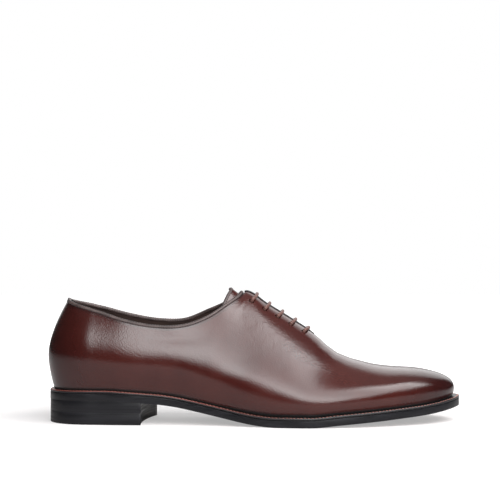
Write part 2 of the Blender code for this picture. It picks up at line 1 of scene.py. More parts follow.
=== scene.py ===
"""A right whole cut oxford in polished brown calf, laid out as a Blender add-on.

The shoe's own sizes are in millimetres on the last: X runs from the heel to the toe, +Y is
the inner side and Z is up. Pieces are moved to the frame's metres when they are laid.
"""
import math

import bpy
import numpy as np
from bpy.props import FloatProperty, FloatVectorProperty, PointerProperty
from mathutils import Matrix, Vector


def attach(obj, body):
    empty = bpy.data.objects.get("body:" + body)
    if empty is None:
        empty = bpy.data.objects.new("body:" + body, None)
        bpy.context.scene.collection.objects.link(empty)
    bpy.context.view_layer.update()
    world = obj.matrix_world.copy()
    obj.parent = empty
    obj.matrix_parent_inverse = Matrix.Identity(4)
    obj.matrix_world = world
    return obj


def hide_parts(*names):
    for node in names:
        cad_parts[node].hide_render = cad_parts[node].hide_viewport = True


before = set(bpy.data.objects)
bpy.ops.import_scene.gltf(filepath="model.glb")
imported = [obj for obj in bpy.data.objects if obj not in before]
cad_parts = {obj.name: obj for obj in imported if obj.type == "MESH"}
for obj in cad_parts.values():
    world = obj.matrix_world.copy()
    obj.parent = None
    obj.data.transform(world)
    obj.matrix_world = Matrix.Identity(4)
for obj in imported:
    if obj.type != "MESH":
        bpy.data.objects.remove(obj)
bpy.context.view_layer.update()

bl_info = {
    "name": "Whole cut oxford",
    "version": (1, 0, 0),
    "blender": (4, 5, 0),
    "location": "3D View > Sidebar > Oxford",
    "description": "Builds a welted whole cut oxford piece by piece, with its studio",
    "category": "Object",
}

MM = 0.001
LAST_MIDDLE = np.array([152.1, -2.3, 0.0])
OUTER, INNER = -1.0, 1.0

# The layers of the sole in millimetres, from the floor up, with the gap between two pieces
# and the slack where one tucks in beside another.
OUTSOLE_THICK = 5.2
WELT_THICK = 1.5
INSOLE_THICK = 4.0
GAP = 0.3
WELT_RISE = OUTSOLE_THICK + GAP
FOOT_RISE = WELT_RISE + WELT_THICK + GAP
WALL = 2.0
SLACK = 0.1
WELT_SHOULDER = 1.2
HEEL_TIP_THICK = 8.6
LIFT_SEAM = 0.03
HEEL_INSET = 0.2
BREAST_X_OUTER = 69.8
BREAST_X_INNER = 77.5
BREAST_HOLLOW = 3.2

# Faces that look this far down are the underside.
UNDERSIDE_NORMAL = -0.45

# Underside of the outsole seen from the side: x and height over the floor.
SOLE_PROFILE = np.array((
    (0.0, 16.9), (20.0, 17.4), (43.0, 17.5), (62.0, 16.4), (80.0, 15.1), (94.0, 13.3),
    (106.0, 10.9), (118.0, 8.3), (130.0, 5.7), (142.0, 3.1), (154.0, 1.1), (167.0, 0.0),
    (191.0, 0.0), (213.0, 1.8), (235.0, 3.6), (258.0, 5.6), (282.0, 8.0), (305.6, 11.9),
))

# Sections of the last, from the back of the heel to the tip of the toe: x, middle line, turn
# in degrees at the round ends, and how far the sole stands out from the foot of the wall.
STATIONS = {
    "back": (33.0, 0.0, -90.0, 3.0),
    "back_corner": (33.0, 0.0, -45.0, 3.0),
    "counter": (33.0, 0.0, 0.0, 3.0),
    "seat": (56.0, 0.0, 0.0, 3.0),
    "breast": (80.0, 0.5, 0.0, 3.0),
    "quarter": (100.0, 1.5, 0.0, 3.0),
    "waist": (118.0, 2.5, 0.0, 3.5),
    "arch": (133.0, 3.2, 0.0, 4.0),
    "throat_corner": (141.0, 3.5, 0.0, 4.2),
    "throat_bend": (144.0, 3.55, 0.0, 4.3),
    "throat_top": (146.0, 3.6, 0.0, 4.4),
    "instep": (162.0, 3.8, 0.0, 5.0),
    "ball_rear": (180.0, 3.8, 0.0, 5.3),
    "throat_end": (197.0, 3.6, 0.0, 5.3),
    "ball": (214.0, 3.4, 0.0, 5.3),
    "vamp": (230.0, 3.2, 0.0, 5.3),
    "toe_rear": (246.0, 3.0, 0.0, 5.3),
    "toe_side": (262.0, 3.0, 0.0, 5.2),
    "toe_corner": (262.0, 3.0, 45.0, 5.0),
    "toe_tip": (262.0, 3.0, 90.0, 5.2),
}

# One row a section: the sole's edge, then how far out and how high the wall stands at its
# low, middle, high and crown points and at its top edge.
OUTER_SIDE = np.array((
    (33.0, 31.8, 30.0, 34.8, 44.0, 34.6, 58.0, 27.5, 76.0, 20.5, 88.8),
    (33.2, 31.9, 30.0, 35.0, 43.0, 35.0, 57.0, 28.8, 74.5, 22.0, 86.0),
    (32.8, 31.6, 30.0, 34.6, 42.0, 35.0, 55.0, 29.5, 71.0, 24.5, 81.5),
    (35.0, 33.8, 29.5, 36.6, 40.0, 37.0, 52.0, 32.5, 65.0, 29.5, 74.2),
    (36.1, 35.0, 28.0, 38.0, 39.0, 38.0, 51.0, 34.2, 61.5, 31.7, 69.8),
    (38.0, 37.0, 26.0, 40.0, 37.0, 39.5, 50.0, 35.3, 61.0, 32.5, 70.2),
    (41.8, 40.1, 20.5, 42.5, 31.5, 42.2, 44.0, 36.0, 63.0, 29.6, 76.3),
    (46.2, 44.2, 17.8, 46.0, 30.0, 43.8, 44.0, 32.0, 71.5, 21.6, 85.8),
    (48.6, 46.7, 16.8, 47.8, 30.2, 43.7, 45.7, 25.6, 80.0, 13.2, 91.2),
    (49.6, 47.6, 16.6, 48.6, 30.4, 43.2, 47.1, 20.8, 86.9, 7.0, 94.0),
    (50.2, 48.2, 17.0, 49.2, 30.5, 42.0, 50.0, 15.0, 94.8, 0.5, 96.0),
    (54.4, 52.0, 15.0, 52.5, 28.0, 42.0, 48.0, 14.0, 85.5, 0.5, 86.4),
    (57.6, 55.0, 14.0, 54.5, 26.0, 42.0, 43.5, 15.0, 74.5, 0.5, 75.3),
    (58.2, 55.5, 14.0, 54.5, 25.0, 41.0, 38.0, 17.0, 63.5, 0.0, 64.2),
    (56.9, 54.3, 15.0, 53.5, 25.0, 41.0, 35.0, 20.0, 50.5, 0.0, 50.6),
    (54.2, 51.6, 16.0, 51.0, 25.5, 41.0, 34.0, 21.0, 44.5, 0.0, 44.5),
    (50.0, 47.3, 17.0, 47.0, 26.0, 38.0, 34.0, 19.0, 41.0, 0.0, 40.8),
    (44.0, 41.2, 18.0, 41.2, 27.0, 33.5, 35.0, 16.5, 39.6, 0.0, 39.5),
    (40.0, 37.2, 20.0, 37.6, 28.0, 30.0, 35.5, 14.5, 39.2, 0.0, 39.5),
    (43.6, 40.3, 22.3, 40.4, 29.0, 30.5, 35.6, 14.0, 38.8, 0.0, 39.5),
))
INNER_SIDE = np.array((
    (33.0, 31.8, 30.0, 34.8, 44.0, 34.6, 58.0, 27.5, 76.0, 20.5, 88.8),
    (32.8, 31.5, 30.0, 34.5, 43.0, 34.5, 57.0, 28.5, 75.0, 22.0, 86.3),
    (32.0, 31.0, 30.0, 34.0, 42.0, 34.5, 56.0, 29.5, 72.0, 24.5, 82.5),
    (33.0, 32.3, 29.5, 36.0, 41.0, 36.5, 54.0, 32.5, 67.0, 29.3, 76.2),
    (31.0, 31.5, 29.0, 36.5, 40.5, 37.0, 54.0, 33.8, 64.0, 31.0, 72.0),
    (27.5, 29.0, 26.5, 36.0, 38.0, 37.0, 52.0, 33.5, 63.5, 30.5, 72.4),
    (25.5, 26.4, 21.0, 33.5, 31.5, 36.0, 44.5, 31.8, 64.5, 26.5, 79.5),
    (26.1, 27.2, 18.6, 33.8, 30.2, 35.1, 44.2, 27.2, 71.2, 19.5, 86.4),
    (27.6, 28.5, 17.5, 34.5, 30.1, 34.4, 46.0, 22.2, 80.0, 12.0, 91.4),
    (28.2, 29.4, 17.6, 35.3, 30.5, 34.1, 48.1, 18.3, 87.1, 6.4, 94.1),
    (28.6, 30.0, 18.0, 36.0, 30.5, 33.5, 51.0, 14.0, 94.3, 0.5, 96.0),
    (33.2, 33.3, 16.0, 38.0, 28.0, 33.0, 49.0, 13.0, 85.3, 0.5, 86.4),
    (39.7, 38.5, 14.5, 41.5, 26.0, 33.0, 45.0, 13.0, 74.3, 0.5, 75.3),
    (44.4, 42.5, 14.0, 44.0, 25.0, 33.5, 40.0, 14.5, 63.3, 0.0, 64.2),
    (46.6, 44.5, 15.0, 45.3, 25.0, 35.0, 36.5, 17.0, 50.5, 0.0, 50.6),
    (46.3, 44.0, 16.0, 44.6, 26.0, 36.0, 35.0, 18.5, 44.5, 0.0, 44.5),
    (44.2, 41.7, 17.0, 42.2, 26.5, 34.5, 35.0, 17.5, 41.0, 0.0, 40.8),
    (39.8, 37.0, 18.0, 37.8, 27.5, 31.0, 35.5, 15.5, 39.6, 0.0, 39.5),
    (39.0, 36.2, 20.0, 36.8, 28.5, 29.5, 36.0, 14.3, 39.2, 0.0, 39.5),
    (43.6, 40.3, 22.3, 40.4, 29.0, 30.5, 35.6, 14.0, 38.8, 0.0, 39.5),
))

# Eyelets, tongue and lace.
EYELET_X = (150.3, 159.9, 169.6, 179.3, 189.0)
EYELET_FROM_EDGE = 12.5
EYELET_RADIUS = 2.05
EYELET_PUNCH = 9.0
TONGUE_THICK = 2.0
TONGUE_HALF_WIDTH = 25.0
TONGUE_RISE = 15.5
TONGUE_LEAN = math.radians(38.0)
TONGUE_SIDE_DROP = 0.3
TONGUE_SIDES_BACK = 8.5
TONGUE_DEPTHS = np.array(((146.0, 7.0), (154.0, 5.9), (196.0, 5.9), (204.0, 4.0),
                          (211.0, 2.7), (217.0, 2.7)))
TONGUE_BOUND_ROWS = 5
BINDING_RADIUS = 1.45
BINDING_SHORT = 1.3
BINDING_OVER_EDGE = 0.5
LACE_RADIUS = 1.3
LACE_BEND = 1.5
LACE_CLEARANCE = 0.45
LACE_PASS = 3.3
LACE_STUB = 4.5
BAR_LEAN = 3.1
LACE_CORNER_SHARE = 0.45
LACE_STRAIGHT = math.radians(150)
LACE_ROUTE = (
    ("outer", 0, "start"), ("outer", 1, "bar"), ("inner", 1, "past_inward"),
    ("inner", 3, "bar"), ("outer", 3, "straight"), ("outer", 4, "bar"),
    ("inner", 4, "past_outward"), ("inner", 2, "bar"), ("outer", 2, "past_outward"),
    ("outer", 0, "bar"), ("inner", 0, "end"),
)

# Stitches: length and radius of one. The rows of collar and tongue have the angle round the
# roll at which each lies, and its lean, as a share of its length.
COLLAR_STITCH = (1.15, 0.34)
COLLAR_ROWS = ((-42.0, 0.45), (34.0, 0.45), (150.0, -0.45))
COLLAR_STITCH_OUT = 1.56
COLLAR_BARE_END = 1.2
TONGUE_STITCH = (1.15, 0.28)
TONGUE_ROWS = ((55.0, 0.45), (125.0, 0.45))
TONGUE_STITCH_OUT = 1.36
WELT_STITCH = (2.0, 0.3)
WELT_STITCH_LEAN = 0.3
WELT_STITCH_INSET = 0.9
WELT_STITCH_LIFT = 0.02
STITCH_DIP = 0.7

# The throat's black edges and their tack.
THROAT_EDGE_BACK = 0.6
THROAT_EDGE_END_X = 194.0
THROAT_EDGE_LIFT = 0.3
THROAT_EDGE_POINTS = 120
TACK_FROM_X, TACK_TO_X = 193.2, 196.8
TACK_COUNT = 7
TACK_LIFT = 0.25
TACK_LEAN = 0.12
TACK_STITCH = (2.9, 0.42)

# The upper's rows, how much closer they lie at the top edge, and how far past the throat's
# bend the collar's tuck fades.
UPPER_ROWS = 54
UPPER_CROWDING = 1.25
COLLAR_FADE = 3.0

# Easing of the flank under the throat's top corner: how far it reaches along the shoe, the up
# where it starts and over which it fades in, its share of each round, and the rounds.
EASE_REACH = 16.0
EASE_TOP = 0.93
EASE_FADE = 0.12
EASE_SHARE = 0.5
EASE_ROUNDS = 70

# Soft creases and puckers of the upper, pressed in: side (0 for both), x of the
# middle, up of the middle, how far it runs each way along x and up, lean of the crease in
# millimetres of x for the whole wall, and its depth in millimetres (below 0 for a ridge).
CREASES = (
    (0, 205.0, 0.96, 2.6, 0.20, -14.0, 0.22),
    (0, 209.5, 0.96, 2.4, 0.22, -15.0, -0.12),
    (0, 214.5, 0.94, 2.8, 0.24, -16.0, 0.20),
    (0, 223.5, 0.92, 3.4, 0.22, -14.0, 0.16),
    (0, 143.0, 0.88, 4.4, 0.12, 46.0, 0.17),
    (0, 151.0, 0.86, 4.4, 0.12, 52.0, 0.13),
    (0, 135.0, 0.86, 4.4, 0.10, 38.0, 0.12),
    (-1, 100.0, 0.90, 26.0, 0.07, 0.0, 0.35),
    (1, 100.0, 0.90, 26.0, 0.07, 0.0, 0.30),
    (1, 128.0, 0.30, 16.0, 0.16, 0.0, 0.30),
)

# Where the calf's burnish, painted shade and crumpling change, from none of it to all of it:
# along the shoe in metres of the frame, and up the wall from 0 at its foot to 1 at its top edge.
HEEL_BURNISH, TOE_BURNISH = (-0.085, -0.15), (0.095, 0.148)
FACINGS_REAR, FACINGS_FORE = (-0.045, -0.005), (0.1, 0.06)
# Painted shade on the foot of the wall above the welt, then a painted black shadow where it turns
# in.
FOOT_SHADE_UP, SHADOW_UP = (0.075, 0.0), (0.038, 0.024)
TOP_EDGE_UP, FACINGS_UP = (0.975, 1.0), (0.5, 0.8)
SHADOW_COLOUR = (0.002, 0.0012, 0.0012)

# The studio, in metres: size, place, roll and hollow of the softboxes, then the floor and the
# camera, whose focal length is in pixels of a picture of that width.
SHOE_CENTRE = (0.0, 0.0, 0.05)
FRONT_SIZE, FRONT_PLACE = (2.3, 1.25), (0.42, -0.772, 0.828)
FRONT_ROLL, FRONT_HOLLOW = math.radians(29.0), 0.3
BACK_SIZE, BACK_PLACE = (2.2, 1.25), (0.05, 1.15, 0.62)
WHITE = (1.0, 1.0, 1.0, 1.0)
FLOOR_WIDTH, FLOOR_BACK, FLOOR_FRONT = 5.0, 3.0, -0.42
FLOOR_SHADES = ((0.55, 0.53, 0.53), (0.58, 0.56, 0.56))
FLOOR_FADE, FLOOR_GLOW = (0.15, 0.4), (0.4, 1.0)
SENSOR_WIDTH = 36.0
FOCAL_PIXELS, PICTURE_WIDTH = 1470.0, 500.0
CAMERA_PLACE = (-0.0031, -1.0977, 0.127)


# The last.

def through(knots, table, at, level_start=True, level_end=True):
    """Smooth cubic through a table's rows, level at an end where the two sides meet."""
    step = np.diff(knots)
    slope = np.diff(table, axis=0) / step[:, None]
    size = len(knots)
    matrix, right = np.zeros((size, size)), np.zeros((size, table.shape[1]))
    matrix[0, 0] = matrix[-1, -1] = 1.0
    if level_start:
        matrix[0, :2], right[0] = (2 * step[0], step[0]), 6 * slope[0]
    if level_end:
        matrix[-1, -2:], right[-1] = (step[-1], 2 * step[-1]), -6 * slope[-1]
    for i in range(1, size - 1):
        matrix[i, i - 1:i + 2] = step[i - 1], 2 * (step[i - 1] + step[i]), step[i]
        right[i] = 6 * (slope[i] - slope[i - 1])
    bend = np.linalg.solve(matrix, right)
    i = np.clip(np.searchsorted(knots, at) - 1, 0, size - 2)
    a, b, h = (knots[i + 1] - at)[:, None], (at - knots[i])[:, None], step[i][:, None]
    return ((bend[i] * a ** 3 + bend[i + 1] * b ** 3) / (6 * h)
            + (table[i] / h - bend[i] * h / 6) * a
            + (table[i + 1] / h - bend[i + 1] * h / 6) * b)


def held(knots, table, at, eased=0):
    """Cubic that never runs past its rows: flat stretches stay flat, corners stay in.

    The first rows may be eased, so that the line swings through them in one curve."""
    step = np.diff(knots)[:, None]
    slope = np.diff(table, axis=0) / step
    tangent = np.zeros_like(table)
    tangent[0], tangent[-1] = slope[0], slope[-1]
    product, total = slope[:-1] * slope[1:], slope[:-1] + slope[1:]
    rising = product > 0
    tangent[1:-1][rising] = 2 * product[rising] / total[rising]
    if eased:
        swing = (slope[:-1] * step[1:] + slope[1:] * step[:-1]) / (step[:-1] + step[1:])
        tangent[1:eased] = swing[:eased - 1]
    i = np.clip(np.searchsorted(knots, at) - 1, 0, len(knots) - 2)
    h = step[i]
    t = (at - knots[i])[:, None] / h
    return ((2 * t ** 3 - 3 * t ** 2 + 1) * table[i] + (3 * t ** 2 - 2 * t ** 3) * table[i + 1]
            + h * ((t ** 3 - 2 * t ** 2 + t) * tangent[i] + (t ** 3 - t ** 2) * tangent[i + 1]))


SECTION_NAMES = list(STATIONS)
STATION_TABLE = np.array([STATIONS[name] for name in SECTION_NAMES])
SIDE_TABLES = {OUTER: OUTER_SIDE, INNER: INNER_SIDE}
THROAT_TOP = SECTION_NAMES.index("throat_top")
EASED_COLLAR = SECTION_NAMES.index("throat_corner")


def section_runs():
    """Distance run along the sole's edge up to each section."""
    mean_edge = (OUTER_SIDE[:, 0] + INNER_SIDE[:, 0]) / 2
    ahead = np.abs(np.diff(STATION_TABLE[:, 0]))
    round_end = np.radians(np.abs(np.diff(STATION_TABLE[:, 2]))) * mean_edge[:-1]
    return np.concatenate(([0.0], np.cumsum(ahead + round_end)))


RUN = section_runs()
RUN_AT = dict(zip(SECTION_NAMES, RUN))


def run_at_x(x):
    """Distance run at a section that stands across the foot at x."""
    first, last = SECTION_NAMES.index("counter"), SECTION_NAMES.index("toe_side")
    return np.interp(x, STATION_TABLE[first:last + 1, 0], RUN[first:last + 1])


def runs_between(first, last, step):
    """Even distances between two sections, with every section between them on the way."""
    start, end = SECTION_NAMES.index(first), SECTION_NAMES.index(last)
    runs = [RUN[start]]
    for i in range(start, end):
        count = max(1, round((RUN[i + 1] - RUN[i]) / step))
        runs += list(np.linspace(RUN[i], RUN[i + 1], count + 1)[1:])
    return np.array(runs)


def sole_height(x):
    """Height of the outsole's underside."""
    x = np.clip(np.atleast_1d(x), SOLE_PROFILE[0, 0], SOLE_PROFILE[-1, 0])
    return held(SOLE_PROFILE[:, 0], SOLE_PROFILE[:, 1:], x)[:, 0]


def plan(side, runs, out):
    """Plan points at a distance out from each section's middle."""
    x = np.interp(runs, RUN, STATION_TABLE[:, 0])
    turn = np.radians(np.interp(runs, RUN, STATION_TABLE[:, 2]))
    middle = through(RUN, STATION_TABLE[:, 1:2], runs)[:, 0]
    return x + out * np.sin(turn), middle + side * out * np.cos(turn)


def sole_out(side, runs):
    """How far out the sole's edge stands."""
    return through(RUN, SIDE_TABLES[side][:, :1], runs)[:, 0]


def foot_out(side, runs):
    """How far out the foot of the wall stands."""
    return sole_out(side, runs) - through(RUN, STATION_TABLE[:, 3:], runs)[:, 0]


def section_points(side, runs):
    """Out and height of the six points that shape the wall of each section."""
    table = SIDE_TABLES[side]
    low_and_middle = through(RUN, table[:, 1:5], runs)
    rear = through(RUN[:THROAT_TOP + 1], table[:THROAT_TOP + 1, 5:9], runs, level_end=False)
    fore = through(RUN[THROAT_TOP:], table[THROAT_TOP:, 5:9], runs, level_start=False)
    high_and_crown = np.where((runs <= RUN[THROAT_TOP])[:, None], rear, fore)
    top = held(RUN, table[:, 9:], runs, EASED_COLLAR)
    foot = foot_out(side, runs)
    foot_x, _ = plan(side, runs, foot)
    shape = np.hstack((low_and_middle, high_and_crown, top))
    outs = np.column_stack((foot, shape[:, 0::2]))
    heights = np.column_stack((sole_height(foot_x) + FOOT_RISE, shape[:, 1::2]))
    return outs, heights


def cubic_weights(ups):
    """Weights of the six points of a clamped cubic, for each up from 0 to 1."""
    knots = np.array([0, 0, 0, 0, 1 / 3, 2 / 3, 1, 1, 1, 1])
    t = np.clip(ups, 0.0, 1.0 - 1e-9)[:, None]
    weights = np.where((knots[:-1] <= t) & (t < knots[1:]), 1.0, 0.0)
    for degree in range(1, 4):
        left = knots[degree:-1] - knots[:-degree - 1]
        right = knots[degree + 1:] - knots[1:-degree]
        rise, fall = t - knots[:-degree - 1], knots[degree + 1:] - t
        rising = np.where(left > 0, rise / np.where(left > 0, left, 1), 0)
        falling = np.where(right > 0, fall / np.where(right > 0, right, 1), 0)
        weights = rising * weights[:, :-1] + falling * weights[:, 1:]
    return weights


def wall(side, runs, ups):
    """Points on the outside of the upper: up is 0 at the foot and 1 at the top edge."""
    runs, ups = np.broadcast_arrays(np.asarray(runs, float), np.asarray(ups, float))
    shape = runs.shape
    sections, which = np.unique(runs.ravel(), return_inverse=True)
    outs, heights = section_points(side, sections)
    weights = cubic_weights(ups.ravel())
    out = (weights * outs[which]).sum(axis=1)
    height = (weights * heights[which]).sum(axis=1)
    x, y = plan(side, runs.ravel(), out)
    return np.stack((x, y, height), axis=-1).reshape(*shape, 3)


def unit(vectors):
    """Vectors at a length of 1."""
    return vectors / np.maximum(np.linalg.norm(vectors, axis=-1, keepdims=True), 1e-9)


def wall_normals(side, runs, ups, run_step=0.5, up_step=0.01):
    """Directions out of the wall, from points a step to each side."""
    runs, ups = np.broadcast_arrays(np.asarray(runs, float), np.asarray(ups, float))
    along = wall(side, runs + run_step, ups) - wall(side, runs - run_step, ups)
    rise = (wall(side, runs, np.minimum(ups + up_step, 1.0))
            - wall(side, runs, np.maximum(ups - up_step, 0.0)))
    return unit(np.cross(along, rise) * -side)


def under_wall(side, runs, ups, depth):
    """Points at a depth under the wall's outside, or over it where depth is below 0."""
    depth = np.asarray(depth, float)[..., None] if np.ndim(depth) else depth
    return wall(side, runs, ups) - wall_normals(side, runs, ups) * depth


def lengths_along(route):
    """Distance run along a route up to each of its points."""
    return np.concatenate(([0.0], np.cumsum(np.linalg.norm(np.diff(route, axis=0), axis=1))))


def read_off(at, places, rows):
    """Rows between rows: each of their three columns read off at new places."""
    return np.column_stack([np.interp(at, places, rows[:, k]) for k in range(3)])


def ups_from_edge(side, run, distances, points=120):
    """Where on one section the wall is at distances down from its top edge."""
    steps = np.linspace(1.0, 0.0, points)
    return np.interp(distances, lengths_along(wall(side, run, steps)), steps)


def last_loop(runs):
    """Each side's distances once round the shoe: outer side to the toe, inner side back."""
    return [(OUTER, runs), (INNER, runs[::-1][1:])]


# Making meshes.

def deselect_all():
    """Leaves edit mode and clears the selection."""
    if bpy.context.object and bpy.context.object.mode != 'OBJECT':
        bpy.ops.object.mode_set(mode='OBJECT')
    bpy.ops.object.select_all(action='DESELECT')


def pick(piece):
    """Selects one piece alone."""
    deselect_all()
    piece.select_set(True)
    bpy.context.view_layer.objects.active = piece


def edit_all(piece):
    """Opens a piece in edit mode with all of it selected."""
    pick(piece)
    bpy.ops.object.mode_set(mode='EDIT')
    bpy.ops.mesh.select_all(action='SELECT')


def lay_grid(name, points, along=None, across=None):
    """A grid added flat and then laid, vertex by vertex, on rows of points in millimetres.

    along and across give the UV map its lengths; without them it runs from 0 to 1."""
    rows, columns = points.shape[:2]
    deselect_all()
    bpy.ops.mesh.primitive_grid_add(x_subdivisions=columns - 1, y_subdivisions=rows - 1,
                                    size=1.0)
    piece = bpy.context.object
    piece.name = piece.data.name = name
    mesh = piece.data
    placed = (points.reshape(-1, 3) - LAST_MIDDLE) * MM
    mesh.vertices.foreach_set("co", placed.astype(np.float32).ravel())
    along = np.linspace(0, 1, rows)[:, None] if along is None else along
    across = np.linspace(0, 1, columns)[None, :] if across is None else across
    u, v = (np.broadcast_to(part, (rows, columns)).ravel() for part in (along, across))
    corners = np.empty(len(mesh.loops), dtype=np.int32)
    mesh.loops.foreach_get("vertex_index", corners)
    uv = np.column_stack((u[corners], v[corners]))
    mesh.uv_layers[0].uv.foreach_set("vector", uv.ravel())
    mesh.update()
    return piece


def close_up(piece, merge=0.02):
    """Joins doubled seams and poles and turns the faces outwards."""
    edit_all(piece)
    bpy.ops.mesh.remove_doubles(threshold=merge * MM)
    bpy.ops.mesh.normals_make_consistent(inside=False)
    bpy.ops.object.mode_set(mode='OBJECT')


def face_away(piece, inside):
    """Turns an open sheet so that it faces away from a point in millimetres."""
    centre = Vector((np.array(inside) - LAST_MIDDLE) * MM)
    outward = sum(p.normal.dot(p.center - centre) * p.area for p in piece.data.polygons)
    if outward < 0:
        edit_all(piece)
        bpy.ops.mesh.flip_normals()
        bpy.ops.object.mode_set(mode='OBJECT')


def finish_with(piece, kind, **settings):
    """Adds a modifier and applies it."""
    pick(piece)
    made = piece.modifiers.new(kind.lower(), kind)
    for key, value in settings.items():
        setattr(made, key, value)
    bpy.ops.object.modifier_apply(modifier=made.name)


def round_edges(piece, width, segments=2, angle=50.0):
    """Bevels the edges sharper than an angle, to a width in millimetres."""
    finish_with(piece, 'BEVEL', width=width * MM, segments=segments, limit_method='ANGLE',
                angle_limit=math.radians(angle))


def shade(piece, angle=38.0):
    """Shades a piece smooth, apart from edges sharper than an angle."""
    pick(piece)
    bpy.ops.object.shade_smooth_by_angle(angle=math.radians(angle))


def hand_over(piece, slot, *nodes):
    """Rides on the shoe and stands for its solids; slot is not used."""
    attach(piece, "root")
    if nodes:
        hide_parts(*nodes)


def frames_along(route, guide):
    """Tangents and the two directions across a route, the first turned towards a guide."""
    tangent = unit(np.gradient(route, axis=0))
    first = unit(guide - tangent * (guide * tangent).sum(axis=1, keepdims=True))
    return tangent, first, np.cross(tangent, first)


def carried_guide(route):
    """A direction across a route, carried along it without twisting."""
    tangent = unit(np.gradient(route, axis=0))
    guide = np.zeros_like(route)
    upright = abs(tangent[0, 2]) >= 0.9
    start = np.array((0.0, 1.0, 0.0) if upright else (0.0, 0.0, 1.0))
    for i, direction in enumerate(tangent):
        start = unit(start - direction * start.dot(direction))
        guide[i] = start
    return guide


def sweep(name, route, guide, section):
    """Closed body: a section (across the guide, along the guide) moved along a route.

    Its ends are poles."""
    _, first, second = frames_along(route, guide)
    section = np.vstack((section, section[:1]))
    rings = (route[:, None] + first[:, None] * section[None, :, 1:]
             + second[:, None] * section[None, :, :1])
    ends = [np.repeat(route[i][None, None], len(section), axis=1) for i in (0, -1)]
    rings = np.concatenate((ends[0], rings, ends[1]))
    run = lengths_along(route) * MM
    run = np.concatenate((run[:1], run, run[-1:]))
    round_it = lengths_along(section) * MM
    piece = lay_grid(name, rings, run[:, None], round_it[None, :])
    close_up(piece, merge=0.004)
    shade(piece)
    return piece


def ellipse(width, height, sides):
    """Section of a roll or cord, with its half width and half height."""
    turn = np.linspace(0, 2 * math.pi, sides, endpoint=False)
    return np.column_stack((np.cos(turn) * width, np.sin(turn) * height))


def resample(route, step):
    """Route at even steps."""
    lengths = lengths_along(route)
    at = np.linspace(0, lengths[-1], max(2, round(lengths[-1] / step) + 1))
    return read_off(at, lengths, route)


def one_stitch(length, radius):
    """A stitch modelled once: a short thread that dips at both ends."""
    deselect_all()
    bpy.ops.mesh.primitive_uv_sphere_add(segments=8, ring_count=6, radius=1.0)
    stitch = bpy.context.object
    points = np.array([v.co for v in stitch.data.vertices])
    faces = [tuple(p.vertices) for p in stitch.data.polygons]
    bpy.data.objects.remove(stitch, do_unlink=True)
    points = points[:, [2, 1, 0]] * (length / 2, radius, radius)
    points[:, 2] -= radius * STITCH_DIP * (points[:, 0] / (length / 2)) ** 2
    return points, faces


def sew(name, centres, ahead, out, length, radius):
    """Copies of one stitch along a seam, joined into one mesh."""
    points, faces = one_stitch(length, radius)
    ahead = unit(ahead)
    out = unit(out - ahead * (out * ahead).sum(axis=1, keepdims=True))
    side = np.cross(out, ahead)
    placed = (centres[:, None] + points[None, :, :1] * ahead[:, None]
              + points[None, :, 1:2] * side[:, None] + points[None, :, 2:] * out[:, None])
    placed = (placed.reshape(-1, 3) - LAST_MIDDLE) * MM
    copies = [tuple(i + n * len(points) for i in face)
              for n in range(len(centres)) for face in faces]
    mesh = bpy.data.meshes.new(name)
    mesh.from_pydata(placed.tolist(), [], copies)
    piece = bpy.data.objects.new(name, mesh)
    bpy.context.scene.collection.objects.link(piece)
    close_up(piece, merge=0.0001)
    pick(piece)
    bpy.ops.object.shade_smooth()
    return piece


def spaced(route, pitch):
    """Middles and directions of stitches at a pitch along a route."""
    even = resample(route, pitch)
    return (even[1:] + even[:-1]) / 2, unit(np.diff(even, axis=0))


# Materials.

def feed(tree, socket, value):
    """Links another node's output to a socket, or sets the socket to a plain value."""
    if isinstance(value, bpy.types.NodeSocket):
        tree.links.new(value, socket)
    else:
        socket.default_value = value


def wire(tree, kind, inputs=None, **settings):
    """Adds a node, sets it up and links or sets its inputs."""
    made = tree.nodes.new(kind)
    made.location = (180 * (len(tree.nodes) % 9), -220 * (len(tree.nodes) // 9))
    for key, value in settings.items():
        setattr(made, key, value)
    for name, value in (inputs or {}).items():
        feed(tree, made.inputs[name], value)
    return made


def blend_colours(tree, factor, first, second):
    """A Mix node for colours: its sockets are picked by place, as their names repeat."""
    made = wire(tree, "ShaderNodeMix", {0: factor, 6: first, 7: second}, data_type='RGBA')
    return made.outputs[2]


def ramp(tree, value, low, high, start=0.0, end=1.0):
    """Value mapped smoothly from one span to another."""
    made = wire(tree, "ShaderNodeMapRange", {"Value": value, "From Min": low, "From Max": high,
                                             "To Min": start, "To Max": end},
                interpolation_type='SMOOTHSTEP')
    return made.outputs["Result"]


def sums(tree, how, *terms):
    """A Math node on one or two terms."""
    return wire(tree, "ShaderNodeMath", dict(enumerate(terms)), operation=how).outputs[0]


def rgba(colour):
    """Colour with a full alpha."""
    return (*colour, 1.0)


def shaded(colour, share, lift=0.0):
    """Colour made lighter or darker by a share."""
    return rgba(min(1.0, c * share + lift) for c in colour)


def node_group(name, ins, outs):
    """Empty shader node group with its named inputs and outputs."""
    group = bpy.data.node_groups.new(name, 'ShaderNodeTree')
    for label, kind, default in ins:
        socket = group.interface.new_socket(name=label, in_out='INPUT', socket_type=kind)
        if default is not None:
            socket.default_value = default
    for label, kind in outs:
        group.interface.new_socket(name=label, in_out='OUTPUT', socket_type=kind)
    return group, group.nodes.new("NodeGroupInput"), group.nodes.new("NodeGroupOutput")


FLOAT, VECTOR = "NodeSocketFloat", "NodeSocketVector"


